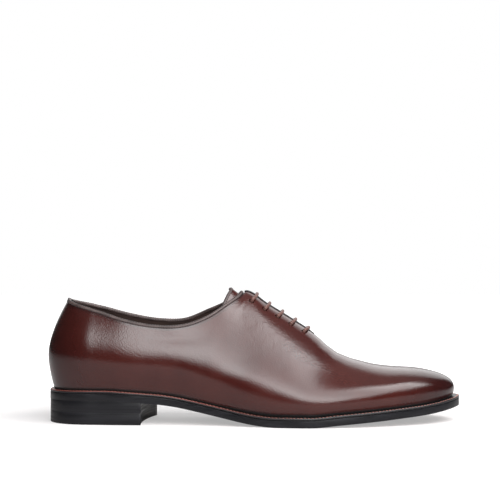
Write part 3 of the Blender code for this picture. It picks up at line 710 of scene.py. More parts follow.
def leather_grain_group():
    """Pores and pebbles of leather, as a height, with a slow mottle for its colour."""
    if "Leather grain" in bpy.data.node_groups:
        return bpy.data.node_groups["Leather grain"]
    group, given, out = node_group(
        "Leather grain",
        (("Vector", VECTOR, None), ("Grain scale", FLOAT, 1100.0), ("Mottle scale", FLOAT, 40.0)),
        (("Height", FLOAT), ("Mottle", FLOAT), ("Speck", FLOAT)))
    place = given.outputs["Vector"]
    pebbles = wire(group, "ShaderNodeTexVoronoi",
                   {"Vector": place, "Scale": given.outputs["Grain scale"]}, feature='F1')
    fine = wire(group, "ShaderNodeTexNoise",
                {"Vector": place, "Scale": given.outputs["Grain scale"], "Detail": 2.0,
                 "Roughness": 0.6})
    mottle = wire(group, "ShaderNodeTexNoise",
                  {"Vector": place, "Scale": given.outputs["Mottle scale"], "Detail": 5.0,
                   "Roughness": 0.62})
    height = sums(group, 'ADD', sums(group, 'MULTIPLY', pebbles.outputs["Distance"], 0.45),
                  sums(group, 'MULTIPLY', fine.outputs["Fac"], 0.55))
    group.links.new(height, out.inputs["Height"])
    group.links.new(ramp(group, mottle.outputs["Fac"], 0.3, 0.7), out.inputs["Mottle"])
    group.links.new(ramp(group, fine.outputs["Fac"], 0.35, 0.65), out.inputs["Speck"])
    return group


def thread_twist_group():
    """Slanting ply lines of a twisted or braided thread, from lengths along and round it; the
    second output is painted shade, darker in the grooves between the plies.
    """
    if "Thread twist" in bpy.data.node_groups:
        return bpy.data.node_groups["Thread twist"]
    group, given, out = node_group(
        "Thread twist",
        (("Vector", VECTOR, None), ("Pitch", FLOAT, 0.001), ("Slant", FLOAT, 1.0)),
        (("Height", FLOAT), ("Groove shade", FLOAT)))
    parts = split(group, given.outputs["Vector"])
    waves = []
    for sign in (1.0, -1.0):
        slanted = sums(group, 'MULTIPLY', parts["Y"], given.outputs["Slant"])
        line = sums(group, 'ADD', parts["X"], sums(group, 'MULTIPLY', slanted, sign))
        turn = sums(group, 'DIVIDE', line, given.outputs["Pitch"])
        waves.append(sums(group, 'SINE', sums(group, 'MULTIPLY', turn, 2 * math.pi)))
    braid = sums(group, 'MULTIPLY', waves[0], waves[1])
    group.links.new(ramp(group, braid, -0.7, 0.7), out.inputs["Height"])
    group.links.new(ramp(group, braid, -0.9, 0.3), out.inputs["Groove shade"])
    return group


def use_group(tree, group, inputs):
    """Places a shared group in a material, with the material's own values."""
    return wire(tree, "ShaderNodeGroup", inputs, node_tree=group)


def leather_grain(tree, place, grain_scale, mottle_scale):
    """The shared leather grain at a leather's own scales."""
    return use_group(tree, leather_grain_group(), {
        "Vector": place, "Grain scale": grain_scale, "Mottle scale": mottle_scale})


def new_material(name, colour, roughness, **constants):
    """Material with its Principled shader; constants go straight on the shader's sockets."""
    made = bpy.data.materials.new(name)
    made.use_nodes = True
    made.diffuse_color = rgba(colour)
    shader = made.node_tree.nodes["Principled BSDF"]
    shader.inputs["Base Color"].default_value = rgba(colour)
    shader.inputs["Roughness"].default_value = roughness
    for key, value in constants.items():
        shader.inputs[key.replace("_", " ")].default_value = value
    return made, made.node_tree, shader


def object_place(tree):
    """Place on the object, for patterns that stay with it."""
    return wire(tree, "ShaderNodeTexCoord").outputs["Object"]


def map_place(tree):
    """Place on the piece's own UV map: along its rows in X and across them in Y."""
    return wire(tree, "ShaderNodeUVMap").outputs[0]


def split(tree, vector):
    """X, Y and Z of a vector."""
    return wire(tree, "ShaderNodeSeparateXYZ", {"Vector": vector}).outputs


def bump(tree, shader, height, strength, distance):
    """Relief from a height; distance in millimetres."""
    made = wire(tree, "ShaderNodeBump", {"Height": height, "Strength": strength,
                                         "Distance": distance * MM})
    tree.links.new(made.outputs["Normal"], shader.inputs["Normal"])
    return made


def calf_material(look):
    """Polished aniline calf: mottled brown, burnished at heel, toe and top edge.

    Painted shade darkens the foot of its wall above the welt, a painted black shadow lies where
    it turns in to the welt, and it is crumpled round the facings."""
    made, tree, shader = new_material("polished_calf", look.leather, look.roughness,
                                      Coat_Weight=0.12, Coat_Roughness=0.16)
    place = object_place(tree)
    grain = leather_grain(tree, place, grain_scale=950.0, mottle_scale=26.0)
    ahead = split(tree, place)["X"]
    up = split(tree, map_place(tree))["Y"]
    body = blend_colours(tree, grain.outputs["Mottle"], rgba(look.leather),
                         rgba(look.leather_light))
    heel = sums(tree, 'MULTIPLY', ramp(tree, ahead, *HEEL_BURNISH), 0.42)
    toe = sums(tree, 'MULTIPLY', ramp(tree, ahead, *TOE_BURNISH), 0.85)
    wander = sums(tree, 'MULTIPLY', grain.outputs["Mottle"], 0.25)
    ends = sums(tree, 'MULTIPLY', sums(tree, 'MAXIMUM', heel, toe),
                sums(tree, 'ADD', wander, 0.85))
    # Painted shade: the foot of the wall darkens towards the welt, in the burnish colour.
    foot_shade = sums(tree, 'MULTIPLY', ramp(tree, up, *FOOT_SHADE_UP), 0.8)
    shadow = ramp(tree, up, *SHADOW_UP)
    edge = sums(tree, 'MULTIPLY', ramp(tree, up, *TOP_EDGE_UP), 0.55)
    for mask, colour in ((ends, look.burnish_and_foot_shade), (foot_shade, look.burnish_and_foot_shade),
                         (shadow, SHADOW_COLOUR), (edge, look.burnish_and_foot_shade)):
        body = blend_colours(tree, mask, body, rgba(colour))
    tree.links.new(body, shader.inputs["Base Color"])
    rough = ramp(tree, grain.outputs["Mottle"], 0.0, 1.0, look.roughness - 0.03,
                 look.roughness + 0.03)
    rough = sums(tree, 'ADD', rough, ramp(tree, grain.outputs["Speck"], 0.0, 1.0, -0.03, 0.03))
    rough = sums(tree, 'ADD', rough, sums(tree, 'MULTIPLY', shadow, 0.5))
    tree.links.new(rough, shader.inputs["Roughness"])
    facings = sums(tree, 'MULTIPLY', ramp(tree, ahead, *FACINGS_REAR),
                   ramp(tree, ahead, *FACINGS_FORE))
    facings = sums(tree, 'MULTIPLY', facings, ramp(tree, up, *FACINGS_UP))
    crumple = wire(tree, "ShaderNodeTexNoise", {"Vector": place, "Scale": 120.0, "Detail": 4.0,
                                                "Roughness": 0.55})
    soft = wire(tree, "ShaderNodeBump", {"Height": crumple.outputs["Fac"],
                                         "Strength": ramp(tree, facings, 0.0, 1.0, 0.12, 0.42),
                                         "Distance": 0.6 * MM})
    fine = bump(tree, shader, grain.outputs["Height"], strength=look.grain, distance=0.13)
    tree.links.new(soft.outputs["Normal"], fine.inputs["Normal"])
    return made


def clouded_leather(name, colour, roughness, clouds, grain_scale, mottle_scale, strength,
                    distance):
    """Leather clouded between two shares of its colour, with its grain pressed in."""
    made, tree, shader = new_material(name, colour, roughness)
    grain = leather_grain(tree, object_place(tree), grain_scale, mottle_scale)
    shades = (shaded(colour, share) for share in clouds)
    tree.links.new(blend_colours(tree, grain.outputs["Mottle"], *shades),
                   shader.inputs["Base Color"])
    bump(tree, shader, grain.outputs["Height"], strength, distance)
    return made


def lining_material(look):
    """Dark leather inside the quarters."""
    return clouded_leather("lining_calf", look.lining, roughness=0.62, clouds=(1.0, 1.55),
                           grain_scale=900.0, mottle_scale=55.0, strength=0.35, distance=0.1)


def sock_material(look):
    """Tan leather over the insole."""
    return clouded_leather("sock_leather", look.sock, roughness=0.55, clouds=(1.0, 1.3),
                           grain_scale=1000.0, mottle_scale=45.0, strength=0.3, distance=0.1)


def binding_material(look):
    """Dark ribbed binding leather, pressed by its overcast stitches."""
    made, tree, shader = new_material("ribbed_binding", look.binding, 0.5, Coat_Weight=0.12,
                                      Coat_Roughness=0.3)
    twist = use_group(tree, thread_twist_group(),
                      {"Vector": map_place(tree), "Pitch": 0.0031, "Slant": 0.5})
    grain = leather_grain(tree, object_place(tree), grain_scale=1600.0, mottle_scale=120.0)
    colour = blend_colours(tree, grain.outputs["Mottle"], rgba(look.binding),
                           shaded(look.binding, 0.45))
    tree.links.new(colour, shader.inputs["Base Color"])
    height = sums(tree, 'ADD', sums(tree, 'MULTIPLY', twist.outputs["Height"], 0.6),
                  sums(tree, 'MULTIPLY', grain.outputs["Height"], 0.4))
    bump(tree, shader, height, strength=0.5, distance=0.25)
    return made


def thread_material(name, colour):
    """Sewing thread with its fine fibres."""
    made, tree, shader = new_material(name, colour, 0.5)
    place = object_place(tree)
    fibres = wire(tree, "ShaderNodeTexNoise", {"Vector": place, "Scale": 2200.0, "Detail": 2.0})
    tree.links.new(blend_colours(tree, fibres.outputs["Fac"], rgba(colour),
                                 shaded(colour, 1.6, lift=0.004)),
                   shader.inputs["Base Color"])
    bump(tree, shader, fibres.outputs["Fac"], strength=0.5, distance=0.08)
    return made


def collar_thread_material(look):
    """Black thread of collar, tongue and throat."""
    return thread_material("collar_thread", look.thread)


def lace_material(look):
    """Waxed braided cotton, with painted shade darkening the grooves of its braid."""
    made, tree, shader = new_material("waxed_lace", look.lace, 0.46, Coat_Weight=0.2,
                                      Coat_Roughness=0.35)
    braid = use_group(tree, thread_twist_group(),
                      {"Vector": map_place(tree), "Pitch": 0.00205, "Slant": 1.0})
    fibres = wire(tree, "ShaderNodeTexNoise",
                  {"Vector": object_place(tree), "Scale": 1900.0, "Detail": 3.0})
    # Painted shade: the lace's colour darkens in the braid's grooves, mixed with random fibres.
    fibres_and_groove_shade = sums(tree, 'MULTIPLY', braid.outputs["Groove shade"],
                   ramp(tree, fibres.outputs["Fac"], 0.2, 0.6, 0.7, 1.0))
    tree.links.new(blend_colours(tree, fibres_and_groove_shade, shaded(look.lace, 0.55),
                                 shaded(look.lace, 1.25)),
                   shader.inputs["Base Color"])
    bump(tree, shader, braid.outputs["Height"], strength=0.9, distance=0.22)
    return made


def welt_material(look):
    """Red brown on top from the outer heel to the waist, dressed black everywhere else."""
    made, tree, shader = new_material("dressed_welt", look.welt, 0.42, Coat_Weight=0.25,
                                      Coat_Roughness=0.25)
    grain = leather_grain(tree, object_place(tree), grain_scale=1300.0, mottle_scale=90.0)
    colour = blend_colours(tree, grain.outputs["Mottle"], shaded(look.welt, 0.6),
                           rgba(look.welt))
    along = split(tree, map_place(tree))["X"]
    upward = split(tree, wire(tree, "ShaderNodeNewGeometry").outputs["Normal"])["Z"]
    dressed = sums(tree, 'MAXIMUM', ramp(tree, along, 0.16, 0.3),
                   ramp(tree, upward, 0.35, 0.1))
    colour = blend_colours(tree, dressed, colour, rgba(look.sole))
    tree.links.new(colour, shader.inputs["Base Color"])
    bump(tree, shader, grain.outputs["Height"], strength=0.35, distance=0.12)
    return made


def sole_material(look):
    """Black dressed edge: satin, with faint scuffs and dust."""
    made, tree, shader = new_material("sole_edge", look.sole, 0.36, Specular_IOR_Level=0.27)
    place = object_place(tree)
    stretched = wire(tree, "ShaderNodeMapping", {"Vector": place, "Scale": (1.0, 1.0, 7.0)})
    smear = wire(tree, "ShaderNodeTexNoise", {"Vector": stretched.outputs[0], "Scale": 55.0,
                                              "Detail": 6.0, "Roughness": 0.6})
    fine = wire(tree, "ShaderNodeTexNoise", {"Vector": place, "Scale": 1200.0, "Detail": 2.0})
    colour = blend_colours(tree, ramp(tree, smear.outputs["Fac"], 0.4, 0.75), rgba(look.sole),
                           shaded(look.sole, 1.9))
    tree.links.new(colour, shader.inputs["Base Color"])
    tree.links.new(ramp(tree, smear.outputs["Fac"], 0.3, 0.7, 0.27, 0.42),
                   shader.inputs["Roughness"])
    scuffs = sums(tree, 'ADD', smear.outputs["Fac"],
                  sums(tree, 'MULTIPLY', fine.outputs["Fac"], 0.25))
    bump(tree, shader, scuffs, strength=0.3, distance=0.2)
    return made


def heel_material(look):
    """Stacked lifts: black, with wavering level lines pressed between them."""
    made, tree, shader = new_material("stacked_lifts", look.sole, 0.36, Specular_IOR_Level=0.27)
    place = object_place(tree)
    flat = wire(tree, "ShaderNodeMapping", {"Vector": place, "Scale": (14.0, 14.0, 620.0)})
    lines = wire(tree, "ShaderNodeTexNoise", {"Vector": flat.outputs[0], "Scale": 1.0,
                                              "Detail": 3.0, "Roughness": 0.55})
    broad = wire(tree, "ShaderNodeMapping", {"Vector": place, "Scale": (9.0, 9.0, 330.0)})
    lifts = wire(tree, "ShaderNodeTexNoise", {"Vector": broad.outputs[0], "Scale": 1.0,
                                              "Detail": 2.0})
    mixed = sums(tree, 'ADD', sums(tree, 'MULTIPLY', lines.outputs["Fac"], 0.6),
                 sums(tree, 'MULTIPLY', lifts.outputs["Fac"], 0.4))
    colour = blend_colours(tree, ramp(tree, mixed, 0.42, 0.66), rgba(look.sole),
                           shaded(look.sole, 1.7))
    tree.links.new(colour, shader.inputs["Base Color"])
    tree.links.new(ramp(tree, mixed, 0.35, 0.65, 0.28, 0.5), shader.inputs["Roughness"])
    bump(tree, shader, mixed, strength=0.4, distance=0.3)
    return made


def underside_material(look):
    """Brown tread leather of the underside, seen as a thin line along the sole's foot."""
    return clouded_leather("tread_leather", look.tread, roughness=0.6, clouds=(0.6, 1.0),
                           grain_scale=800.0, mottle_scale=30.0, strength=0.4, distance=0.2)


def kept(name, make, look):
    """Material of that name, made the first time that it is asked for."""
    return bpy.data.materials.get(name) or make(look)


# The pieces.

class OxfordUpperLook(bpy.types.PropertyGroup):
    """Sizes and colours of the upper and its inside"""

    leather: FloatVectorProperty(
        name="Calf", description="Brown of the polished calf", subtype='COLOR', size=3,
        min=0.0, max=1.0, default=(0.040, 0.0060, 0.0046))
    leather_light: FloatVectorProperty(
        name="Calf, lighter clouds", description="Brown where the dye has clouded lighter",
        subtype='COLOR', size=3, min=0.0, max=1.0, default=(0.054, 0.0092, 0.0066))
    # This colour also paints the shade on the foot of the wall above the welt.
    burnish_and_foot_shade: FloatVectorProperty(
        name="Burnish", description="Dark polish on heel, toe and edges", subtype='COLOR',
        size=3, min=0.0, max=1.0, default=(0.013, 0.0036, 0.0040))
    lining: FloatVectorProperty(
        name="Lining", description="Leather inside the quarters", subtype='COLOR', size=3,
        min=0.0, max=1.0, default=(0.024, 0.0125, 0.0100))
    sock: FloatVectorProperty(
        name="Sock", description="Leather over the insole", subtype='COLOR', size=3,
        min=0.0, max=1.0, default=(0.115, 0.055, 0.030))
    roughness: FloatProperty(
        name="Roughness", description="How far the polish spreads a highlight", min=0.05,
        max=1.0, default=0.18)
    grain: FloatProperty(
        name="Grain", description="Strength of the calf's fine grain", min=0.0, max=1.0,
        default=0.75)
    crease_depth: FloatProperty(
        name="Crease depth", description="Share of the creases' own depths", min=0.0, max=3.0,
        default=1.0)
    collar_tuck: FloatProperty(
        name="Collar tuck", description="How far the wall runs up into the rolled collar",
        subtype='DISTANCE', unit='LENGTH', min=0.0, max=0.002, default=0.0006)


class OxfordTrimLook(bpy.types.PropertyGroup):
    """Sizes and colours of the binding, threads and lace"""

    binding: FloatVectorProperty(
        name="Binding", description="Grey brown of the rolled collar", subtype='COLOR', size=3,
        min=0.0, max=1.0, default=(0.115, 0.080, 0.075))
    thread: FloatVectorProperty(
        name="Collar thread", description="Black thread of collar, tongue and throat",
        subtype='COLOR', size=3, min=0.0, max=1.0, default=(0.006, 0.005, 0.006))
    lace: FloatVectorProperty(
        name="Lace", description="Brown of the waxed lace", subtype='COLOR', size=3, min=0.0,
        max=1.0, default=(0.14, 0.062, 0.050))
    stitch_pitch: FloatProperty(
        name="Collar stitches", description="Distance between two stitches of the collar",
        subtype='DISTANCE', unit='LENGTH', min=0.0005, max=0.01, default=0.0019)
    throat_bead: FloatProperty(
        name="Throat edge", description="Radius of the black edge along the throat",
        subtype='DISTANCE', unit='LENGTH', min=0.0001, max=0.001, default=0.0006)


class OxfordSoleLook(bpy.types.PropertyGroup):
    """Sizes and colours of welt, sole and heel"""

    welt: FloatVectorProperty(
        name="Welt", description="Red brown of the welt", subtype='COLOR', size=3, min=0.0,
        max=1.0, default=(0.15, 0.032, 0.026))
    welt_thread: FloatVectorProperty(
        name="Welt thread", description="Pale thread of the welt", subtype='COLOR', size=3,
        min=0.0, max=1.0, default=(0.30, 0.125, 0.10))
    sole: FloatVectorProperty(
        name="Sole and heel", description="Black of the dressed edges", subtype='COLOR',
        size=3, min=0.0, max=1.0, default=(0.0075, 0.0075, 0.0092))
    tread: FloatVectorProperty(
        name="Tread", description="Brown of the underside", subtype='COLOR', size=3, min=0.0,
        max=1.0, default=(0.22, 0.11, 0.07))
    edge: FloatProperty(
        name="Edge rounding", description="Radius of the sole's rounded edges",
        subtype='DISTANCE', unit='LENGTH', min=0.0001, max=0.002, default=0.0007)
    welt_pitch: FloatProperty(
        name="Welt stitches", description="Distance between two stitches of the welt",
        subtype='DISTANCE', unit='LENGTH', min=0.001, max=0.01, default=0.0026)


class OxfordStudioLook(bpy.types.PropertyGroup):
    """The studio's light"""

    key: FloatProperty(
        name="Front softbox", description="Power of the wide softbox before the shoe",
        unit='POWER', min=0.0, default=58.0)
    back: FloatProperty(
        name="Back panel", description="Power of the white panel behind the shoe",
        unit='POWER', min=0.0, default=12.0)
    surround: FloatProperty(
        name="Surround", description="Brightness of the dim room round the table", min=0.0,
        default=0.045)
    ceiling: FloatProperty(
        name="Ceiling", description="Brightness of the room straight above the shoe", min=0.0,
        default=0.4)


def pressed(side, points, runs, ups, share):
    """Wall points with the soft creases and puckers pressed in."""
    x = points[..., 0]
    depth = np.zeros_like(x)
    for which, middle, height, half_x, half_up, lean, deep in CREASES:
        if which in (0, side):
            off = (x - middle - lean * (height - ups)) / half_x
            depth += deep * np.exp(-off ** 2 - ((ups - height) / half_up) ** 2)
    return points - wall_normals(side, runs, ups) * (depth * share)[..., None]


def eased_flank(grid, runs, ups):
    """The wall with the hard fold under the throat's top corner eased away."""
    near = np.exp(-((runs - RUN_AT["throat_top"]) / EASE_REACH) ** 2)[:, None]
    low = np.clip((EASE_TOP - ups) / EASE_FADE, 0.0, 1.0)[None, :]
    share = (EASE_SHARE * near * low)[..., None]
    for _ in range(EASE_ROUNDS):
        grid[1:-1] += share[1:-1] * ((grid[:-2] + grid[2:]) / 2 - grid[1:-1])
    return grid


class OXFORD_OT_upper(bpy.types.Operator):
    """Lay the one-piece calf upper over the last, thicken it and punch its eyelets"""

    bl_idname = "oxford.upper"
    bl_label = "Upper"

    def execute(self, context):
        look = context.scene.oxford_upper
        runs = runs_between("back", "toe_tip", step=1.7)
        ups = 1.0 - (1.0 - np.linspace(0.0, 1.0, UPPER_ROWS)) ** UPPER_CROWDING
        bands, along = [], []
        for side, order in last_loop(runs):
            grid = eased_flank(wall(side, order[:, None], ups[None, :]), order, ups)
            grid = pressed(side, grid, order[:, None], ups[None, :], look.crease_depth)
            collar = 1.0 - np.clip((order - RUN_AT["throat_bend"]) / COLLAR_FADE, 0.0, 1.0)
            lip = grid[:, -1:] + unit(grid[:, -1:] - grid[:, -2:-1]) * (
                look.collar_tuck / MM * collar)[:, None, None]
            bands.append(np.concatenate((grid, lip), axis=1))
            along.append(order if side == OUTER else 2 * runs[-1] - order)
        up_map = np.concatenate((ups, (1.0,)))
        upper = lay_grid("calf_upper", np.concatenate(bands),
                         along=np.concatenate(along)[:, None] * MM, across=up_map[None, :])
        close_up(upper)
        face_away(upper, inside=(150.0, 2.0, 40.0))
        for make in (calf_material, lining_material):
            upper.data.materials.append(make(look))
        finish_with(upper, 'SOLIDIFY', thickness=WALL * MM, offset=-1.0, material_offset=1,
                    material_offset_rim=0)
        round_edges(upper, width=0.45, angle=60.0)
        self.punch(upper)
        shade(upper, angle=42.0)
        hand_over(upper, "calf_leather", "upper")
        return {'FINISHED'}

    def punch(self, upper):
        """Ten round holes, square to the wall."""
        punches = []
        for side in (OUTER, INNER):
            for x in EYELET_X:
                run = run_at_x(x)
                up = ups_from_edge(side, run, EYELET_FROM_EDGE)
                centre = (wall(side, run, up) - LAST_MIDDLE) * MM
                turn = Vector(wall_normals(side, run, up)).to_track_quat('Z', 'Y')
                deselect_all()
                bpy.ops.mesh.primitive_cylinder_add(
                    vertices=28, radius=EYELET_RADIUS * MM, depth=EYELET_PUNCH * MM,
                    location=centre, rotation=turn.to_euler())
                punches.append(bpy.context.object)
        for punch in punches:
            punch.select_set(True)
        bpy.ops.object.join()
        cutter = bpy.context.object
        finish_with(upper, 'BOOLEAN', operation='DIFFERENCE', solver='EXACT', object=cutter)
        bpy.data.objects.remove(cutter, do_unlink=True)


def collar_route(step):
    """Middle line of the rolled collar with its rise and its way out, from throat to throat."""
    runs = runs_between("back", "throat_bend", step)
    runs = np.concatenate((runs, [RUN_AT["throat_top"] - BINDING_SHORT]))
    parts = []
    for side, order in ((OUTER, runs[::-1]), (INNER, runs[1:])):
        edge = wall(side, order, 1.0)
        along = unit(wall(side, order + 1.0, 1.0) - wall(side, order - 1.0, 1.0))
        rise = edge - wall(side, order, 0.98)
        rise = unit(rise - along * (rise * along).sum(axis=1, keepdims=True))
        centre = under_wall(side, order, 1.0, WALL / 2) + rise * (BINDING_RADIUS + GAP)
        parts.append((centre, rise, wall_normals(side, order, 1.0)))
    return [np.concatenate(part) for part in zip(*parts)]


def sew_round(name, middle, ahead, first, second, rows, out, stitch, look):
    """Rows of slanting black stitches along a roll, at angles from its first direction."""
    laid = []
    for angle, lean in rows:
        turn = math.radians(angle)
        face = first * math.cos(turn) + second * math.sin(turn)
        laid.append((middle + face * out, ahead + np.cross(ahead, face) * lean, face))
    centres, aheads, outs = (np.concatenate(part) for part in zip(*laid))
    stitches = sew(name, centres, aheads, outs, *stitch)
    stitches.data.materials.append(kept("collar_thread", collar_thread_material, look))
    hand_over(stitches, "binding_leather")


class OXFORD_OT_collar(bpy.types.Operator):
    """Roll the binding round the collar and sew it along both of its edges"""

    bl_idname = "oxford.collar"
    bl_label = "Rolled collar"

    def execute(self, context):
        look = context.scene.oxford_trim
        centre, rise, out = collar_route(step=0.8)
        binding = sweep("rolled_collar", centre, rise, ellipse(width=1.5, height=1.4, sides=18))
        binding.data.materials.append(kept("ribbed_binding", binding_material, look))
        hand_over(binding, "binding_leather", "collar_binding")
        self.stitches(look, centre, rise, out)
        return {'FINISHED'}

    def stitches(self, look, centre, rise, out):
        """Slanting black stitches low on the outside, high on it, and inside."""
        lengths = lengths_along(centre)
        at = np.arange(COLLAR_BARE_END, lengths[-1] - COLLAR_BARE_END, look.stitch_pitch / MM)
        middle, up, away = (read_off(at, lengths, part) for part in (centre, rise, out))
        sew_round("collar_stitches", middle, unit(np.gradient(middle, axis=0)), unit(away),
                  unit(up), COLLAR_ROWS, COLLAR_STITCH_OUT, COLLAR_STITCH, look)


def tongue_rows(half_steps, shares, steps):
    """Rows across the tongue, from its top edge down to where it is sewn in."""
    spread = np.linspace(0.0, TONGUE_HALF_WIDTH, half_steps + 1)

    def row(x, depth):
        run = float(run_at_x(x))
        halves = {side: under_wall(side, run, ups_from_edge(side, run, spread), depth)
                  for side in (OUTER, INNER)}
        middle = (halves[OUTER][:1] + halves[INNER][:1]) / 2
        return np.concatenate((halves[OUTER][:0:-1], middle, halves[INNER][1:]))

    knots, depths = TONGUE_DEPTHS[:, 0], TONGUE_DEPTHS[:, 1:]
    top = row(knots[0], depths[0, 0])
    off = np.abs(np.linspace(-1, 1, len(top)))[:, None]
    rise = np.array((-math.cos(TONGUE_LEAN), 0.0, math.sin(TONGUE_LEAN)))
    back = np.array((-TONGUE_SIDES_BACK, 0.0, 0.0)) * off ** 2
    rows = [top + (rise * TONGUE_RISE * (1 - TONGUE_SIDE_DROP * off ** 3) + back) * share
            for share in shares]
    for x in np.linspace(knots[0], knots[-1], steps):
        rows.append(row(x, float(held(knots, depths, np.array([x]))[0, 0])))
    return np.array(rows)


class OXFORD_OT_tongue(bpy.types.Operator):
    """Lay the tongue under the facings and bind its top edge"""

    bl_idname = "oxford.tongue"
    bl_label = "Tongue"

    def execute(self, context):
        look = context.scene.oxford_trim
        rows = tongue_rows(half_steps=22, shares=np.linspace(1.0, 0.1, 10), steps=30)
        tongue = lay_grid("leather_tongue", rows)
        for make in (("polished_calf", calf_material), ("lining_calf", lining_material)):
            tongue.data.materials.append(kept(*make, context.scene.oxford_upper))
        if sum(p.normal.z * p.area for p in tongue.data.polygons) < 0:
            face_away(tongue, inside=(160.0, 2.0, 0.0))
        finish_with(tongue, 'SOLIDIFY', thickness=TONGUE_THICK * MM, offset=-1.0,
                    material_offset=1)
        round_edges(tongue, width=0.4, angle=60.0)
        shade(tongue, angle=42.0)
        hand_over(tongue, "calf_leather", "tongue")
        self.bind(rows, look)
        return {'FINISHED'}

    def bind(self, rows, look):
        """Rolled edge over the tongue's top and the sides that stand out of the throat."""
        down = slice(1, TONGUE_BOUND_ROWS + 1)
        up = slice(TONGUE_BOUND_ROWS, 0, -1)
        edge = np.concatenate((rows[up, 0], rows[0], rows[down, -1]))
        into = unit(np.concatenate((rows[up, 1] - rows[up, 0], rows[1] - rows[0],
                                    rows[down, -2] - rows[down, -1])))
        across = unit(np.gradient(edge, axis=0))
        thick = unit(np.cross(across, into))
        thick *= np.sign(thick[:, 2:] + 1e-9)
        route = resample(edge + into * BINDING_OVER_EDGE - thick * (TONGUE_THICK / 2), step=0.8)
        at = np.linspace(0, 1, len(route))
        guide = unit(read_off(at, np.linspace(0, 1, len(edge)), thick))
        bead = sweep("tongue_binding", route, guide, ellipse(width=1.25, height=1.3, sides=14))
        bead.data.materials.append(kept("ribbed_binding", binding_material, look))
        hand_over(bead, "binding_leather")
        centres, ahead = spaced(route, look.stitch_pitch / MM)
        _, over, side = frames_along(centres, read_off(np.linspace(0, 1, len(centres)), at,
                                                       guide))
        sew_round("tongue_stitches", centres, ahead, side, over, TONGUE_ROWS,
                  TONGUE_STITCH_OUT, TONGUE_STITCH, look)


class OXFORD_OT_throat(bpy.types.Operator):
    """Edge the closed throat in black and tack its lower end"""

    bl_idname = "oxford.throat"
    bl_label = "Throat edge"

    def execute(self, context):
        look = context.scene.oxford_trim
        radius = look.throat_bead / MM
        black = kept("collar_thread", collar_thread_material, look)
        runs = np.linspace(RUN_AT["throat_top"] - THROAT_EDGE_BACK,
                           run_at_x(THROAT_EDGE_END_X), THROAT_EDGE_POINTS)
        for side, name in ((OUTER, "throat_edge_outer"), (INNER, "throat_edge_inner")):
            route = under_wall(side, runs, 1.0, -THROAT_EDGE_LIFT)
            bead = sweep(name, route, np.tile((0.0, 0.0, 1.0), (len(route), 1)),
                         ellipse(width=radius * 1.1, height=radius, sides=10))
            bead.data.materials.append(black)
            hand_over(bead, "binding_leather")
        self.tack(black)
        return {'FINISHED'}

    def tack(self, black):
        """Close black stitches over the end of the slit."""
        runs = run_at_x(np.linspace(TACK_FROM_X, TACK_TO_X, TACK_COUNT))
        tops = (under_wall(OUTER, runs, 1.0, -TACK_LIFT)
                + under_wall(INNER, runs, 1.0, -TACK_LIFT)) / 2
        out = unit(wall_normals(OUTER, runs, 1.0) + wall_normals(INNER, runs, 1.0))
        across = np.tile((TACK_LEAN, 1.0, 0.0), (len(tops), 1))
        tack = sew("throat_tack", tops, across, out, *TACK_STITCH)
        tack.data.materials.append(black)
        hand_over(tack, "binding_leather")


def eyelet(side, pair):
    """Run and up of an eyelet's middle."""
    run = float(run_at_x(EYELET_X[pair]))
    return run, float(ups_from_edge(side, run, EYELET_FROM_EDGE))


def lace_leg(side, pair, depth, shift=0.0):
    """Point of the lace at an eyelet: over the wall or under it, shifted to the edge."""
    run, up = eyelet(side, pair)
    if shift:
        up = ups_from_edge(side, run, EYELET_FROM_EDGE - shift)
    return under_wall(side, run, up, depth)


def bar_half(side, pair):
    """Points of a bar from one eyelet up to the middle of the closed throat."""
    points = []
    for share in (1.0, 0.75, 0.5, 0.25, 0.0):
        run = float(run_at_x(EYELET_X[pair] + BAR_LEAN * (1 - share ** 2)))
        up = ups_from_edge(side, run, EYELET_FROM_EDGE * share)
        points.append(under_wall(side, run, up, -(LACE_RADIUS + LACE_CLEARANCE)))
    return points


def lace_route():
    """The one cord's way: bars across the throat, joined by hidden runs inside."""
    under = WALL + LACE_CLEARANCE + LACE_RADIUS
    sides = {"outer": OUTER, "inner": INNER}
    route = []
    for (name, pair, how), following in zip(LACE_ROUTE, LACE_ROUTE[1:] + (None,)):
        side = sides[name]
        beneath = lace_leg(side, pair, under)
        if how == "start":
            route.append(lace_leg(side, pair, under, LACE_PASS))
        elif how == "bar":
            near, far = bar_half(side, pair), bar_half(-side, pair)
            route += [beneath] + near[:-1] + [(near[-1] + far[-1]) / 2] + far[-2::-1]
        elif how == "end":
            run, up = eyelet(side, pair)
            route += [beneath, under_wall(side, run + LACE_STUB, up, under)]
        else:
            route.append(beneath)
            if how.startswith("past"):
                middle = (pair + following[1]) // 2
                shift = LACE_PASS if how == "past_inward" else -LACE_PASS
                route.append(lace_leg(side, middle, under, shift))
    return rounded([Vector(p) for p in route])


def rounded(route):
    """Route with each sharp corner turned on a short arc."""
    made = [route[0]]
    for before, corner, after in zip(route, route[1:], route[2:]):
        back, ahead = before - corner, after - corner
        cut = min(LACE_BEND, back.length * LACE_CORNER_SHARE, ahead.length * LACE_CORNER_SHARE)
        if back.angle(ahead) > LACE_STRAIGHT:
            made.append(corner)
            continue
        start, end = corner + back.normalized() * cut, corner + ahead.normalized() * cut
        for t in np.linspace(0.0, 1.0, 6):
            made.append(start * (1 - t) ** 2 + corner * 2 * t * (1 - t) + end * t * t)
    return np.array(made + [route[-1]])


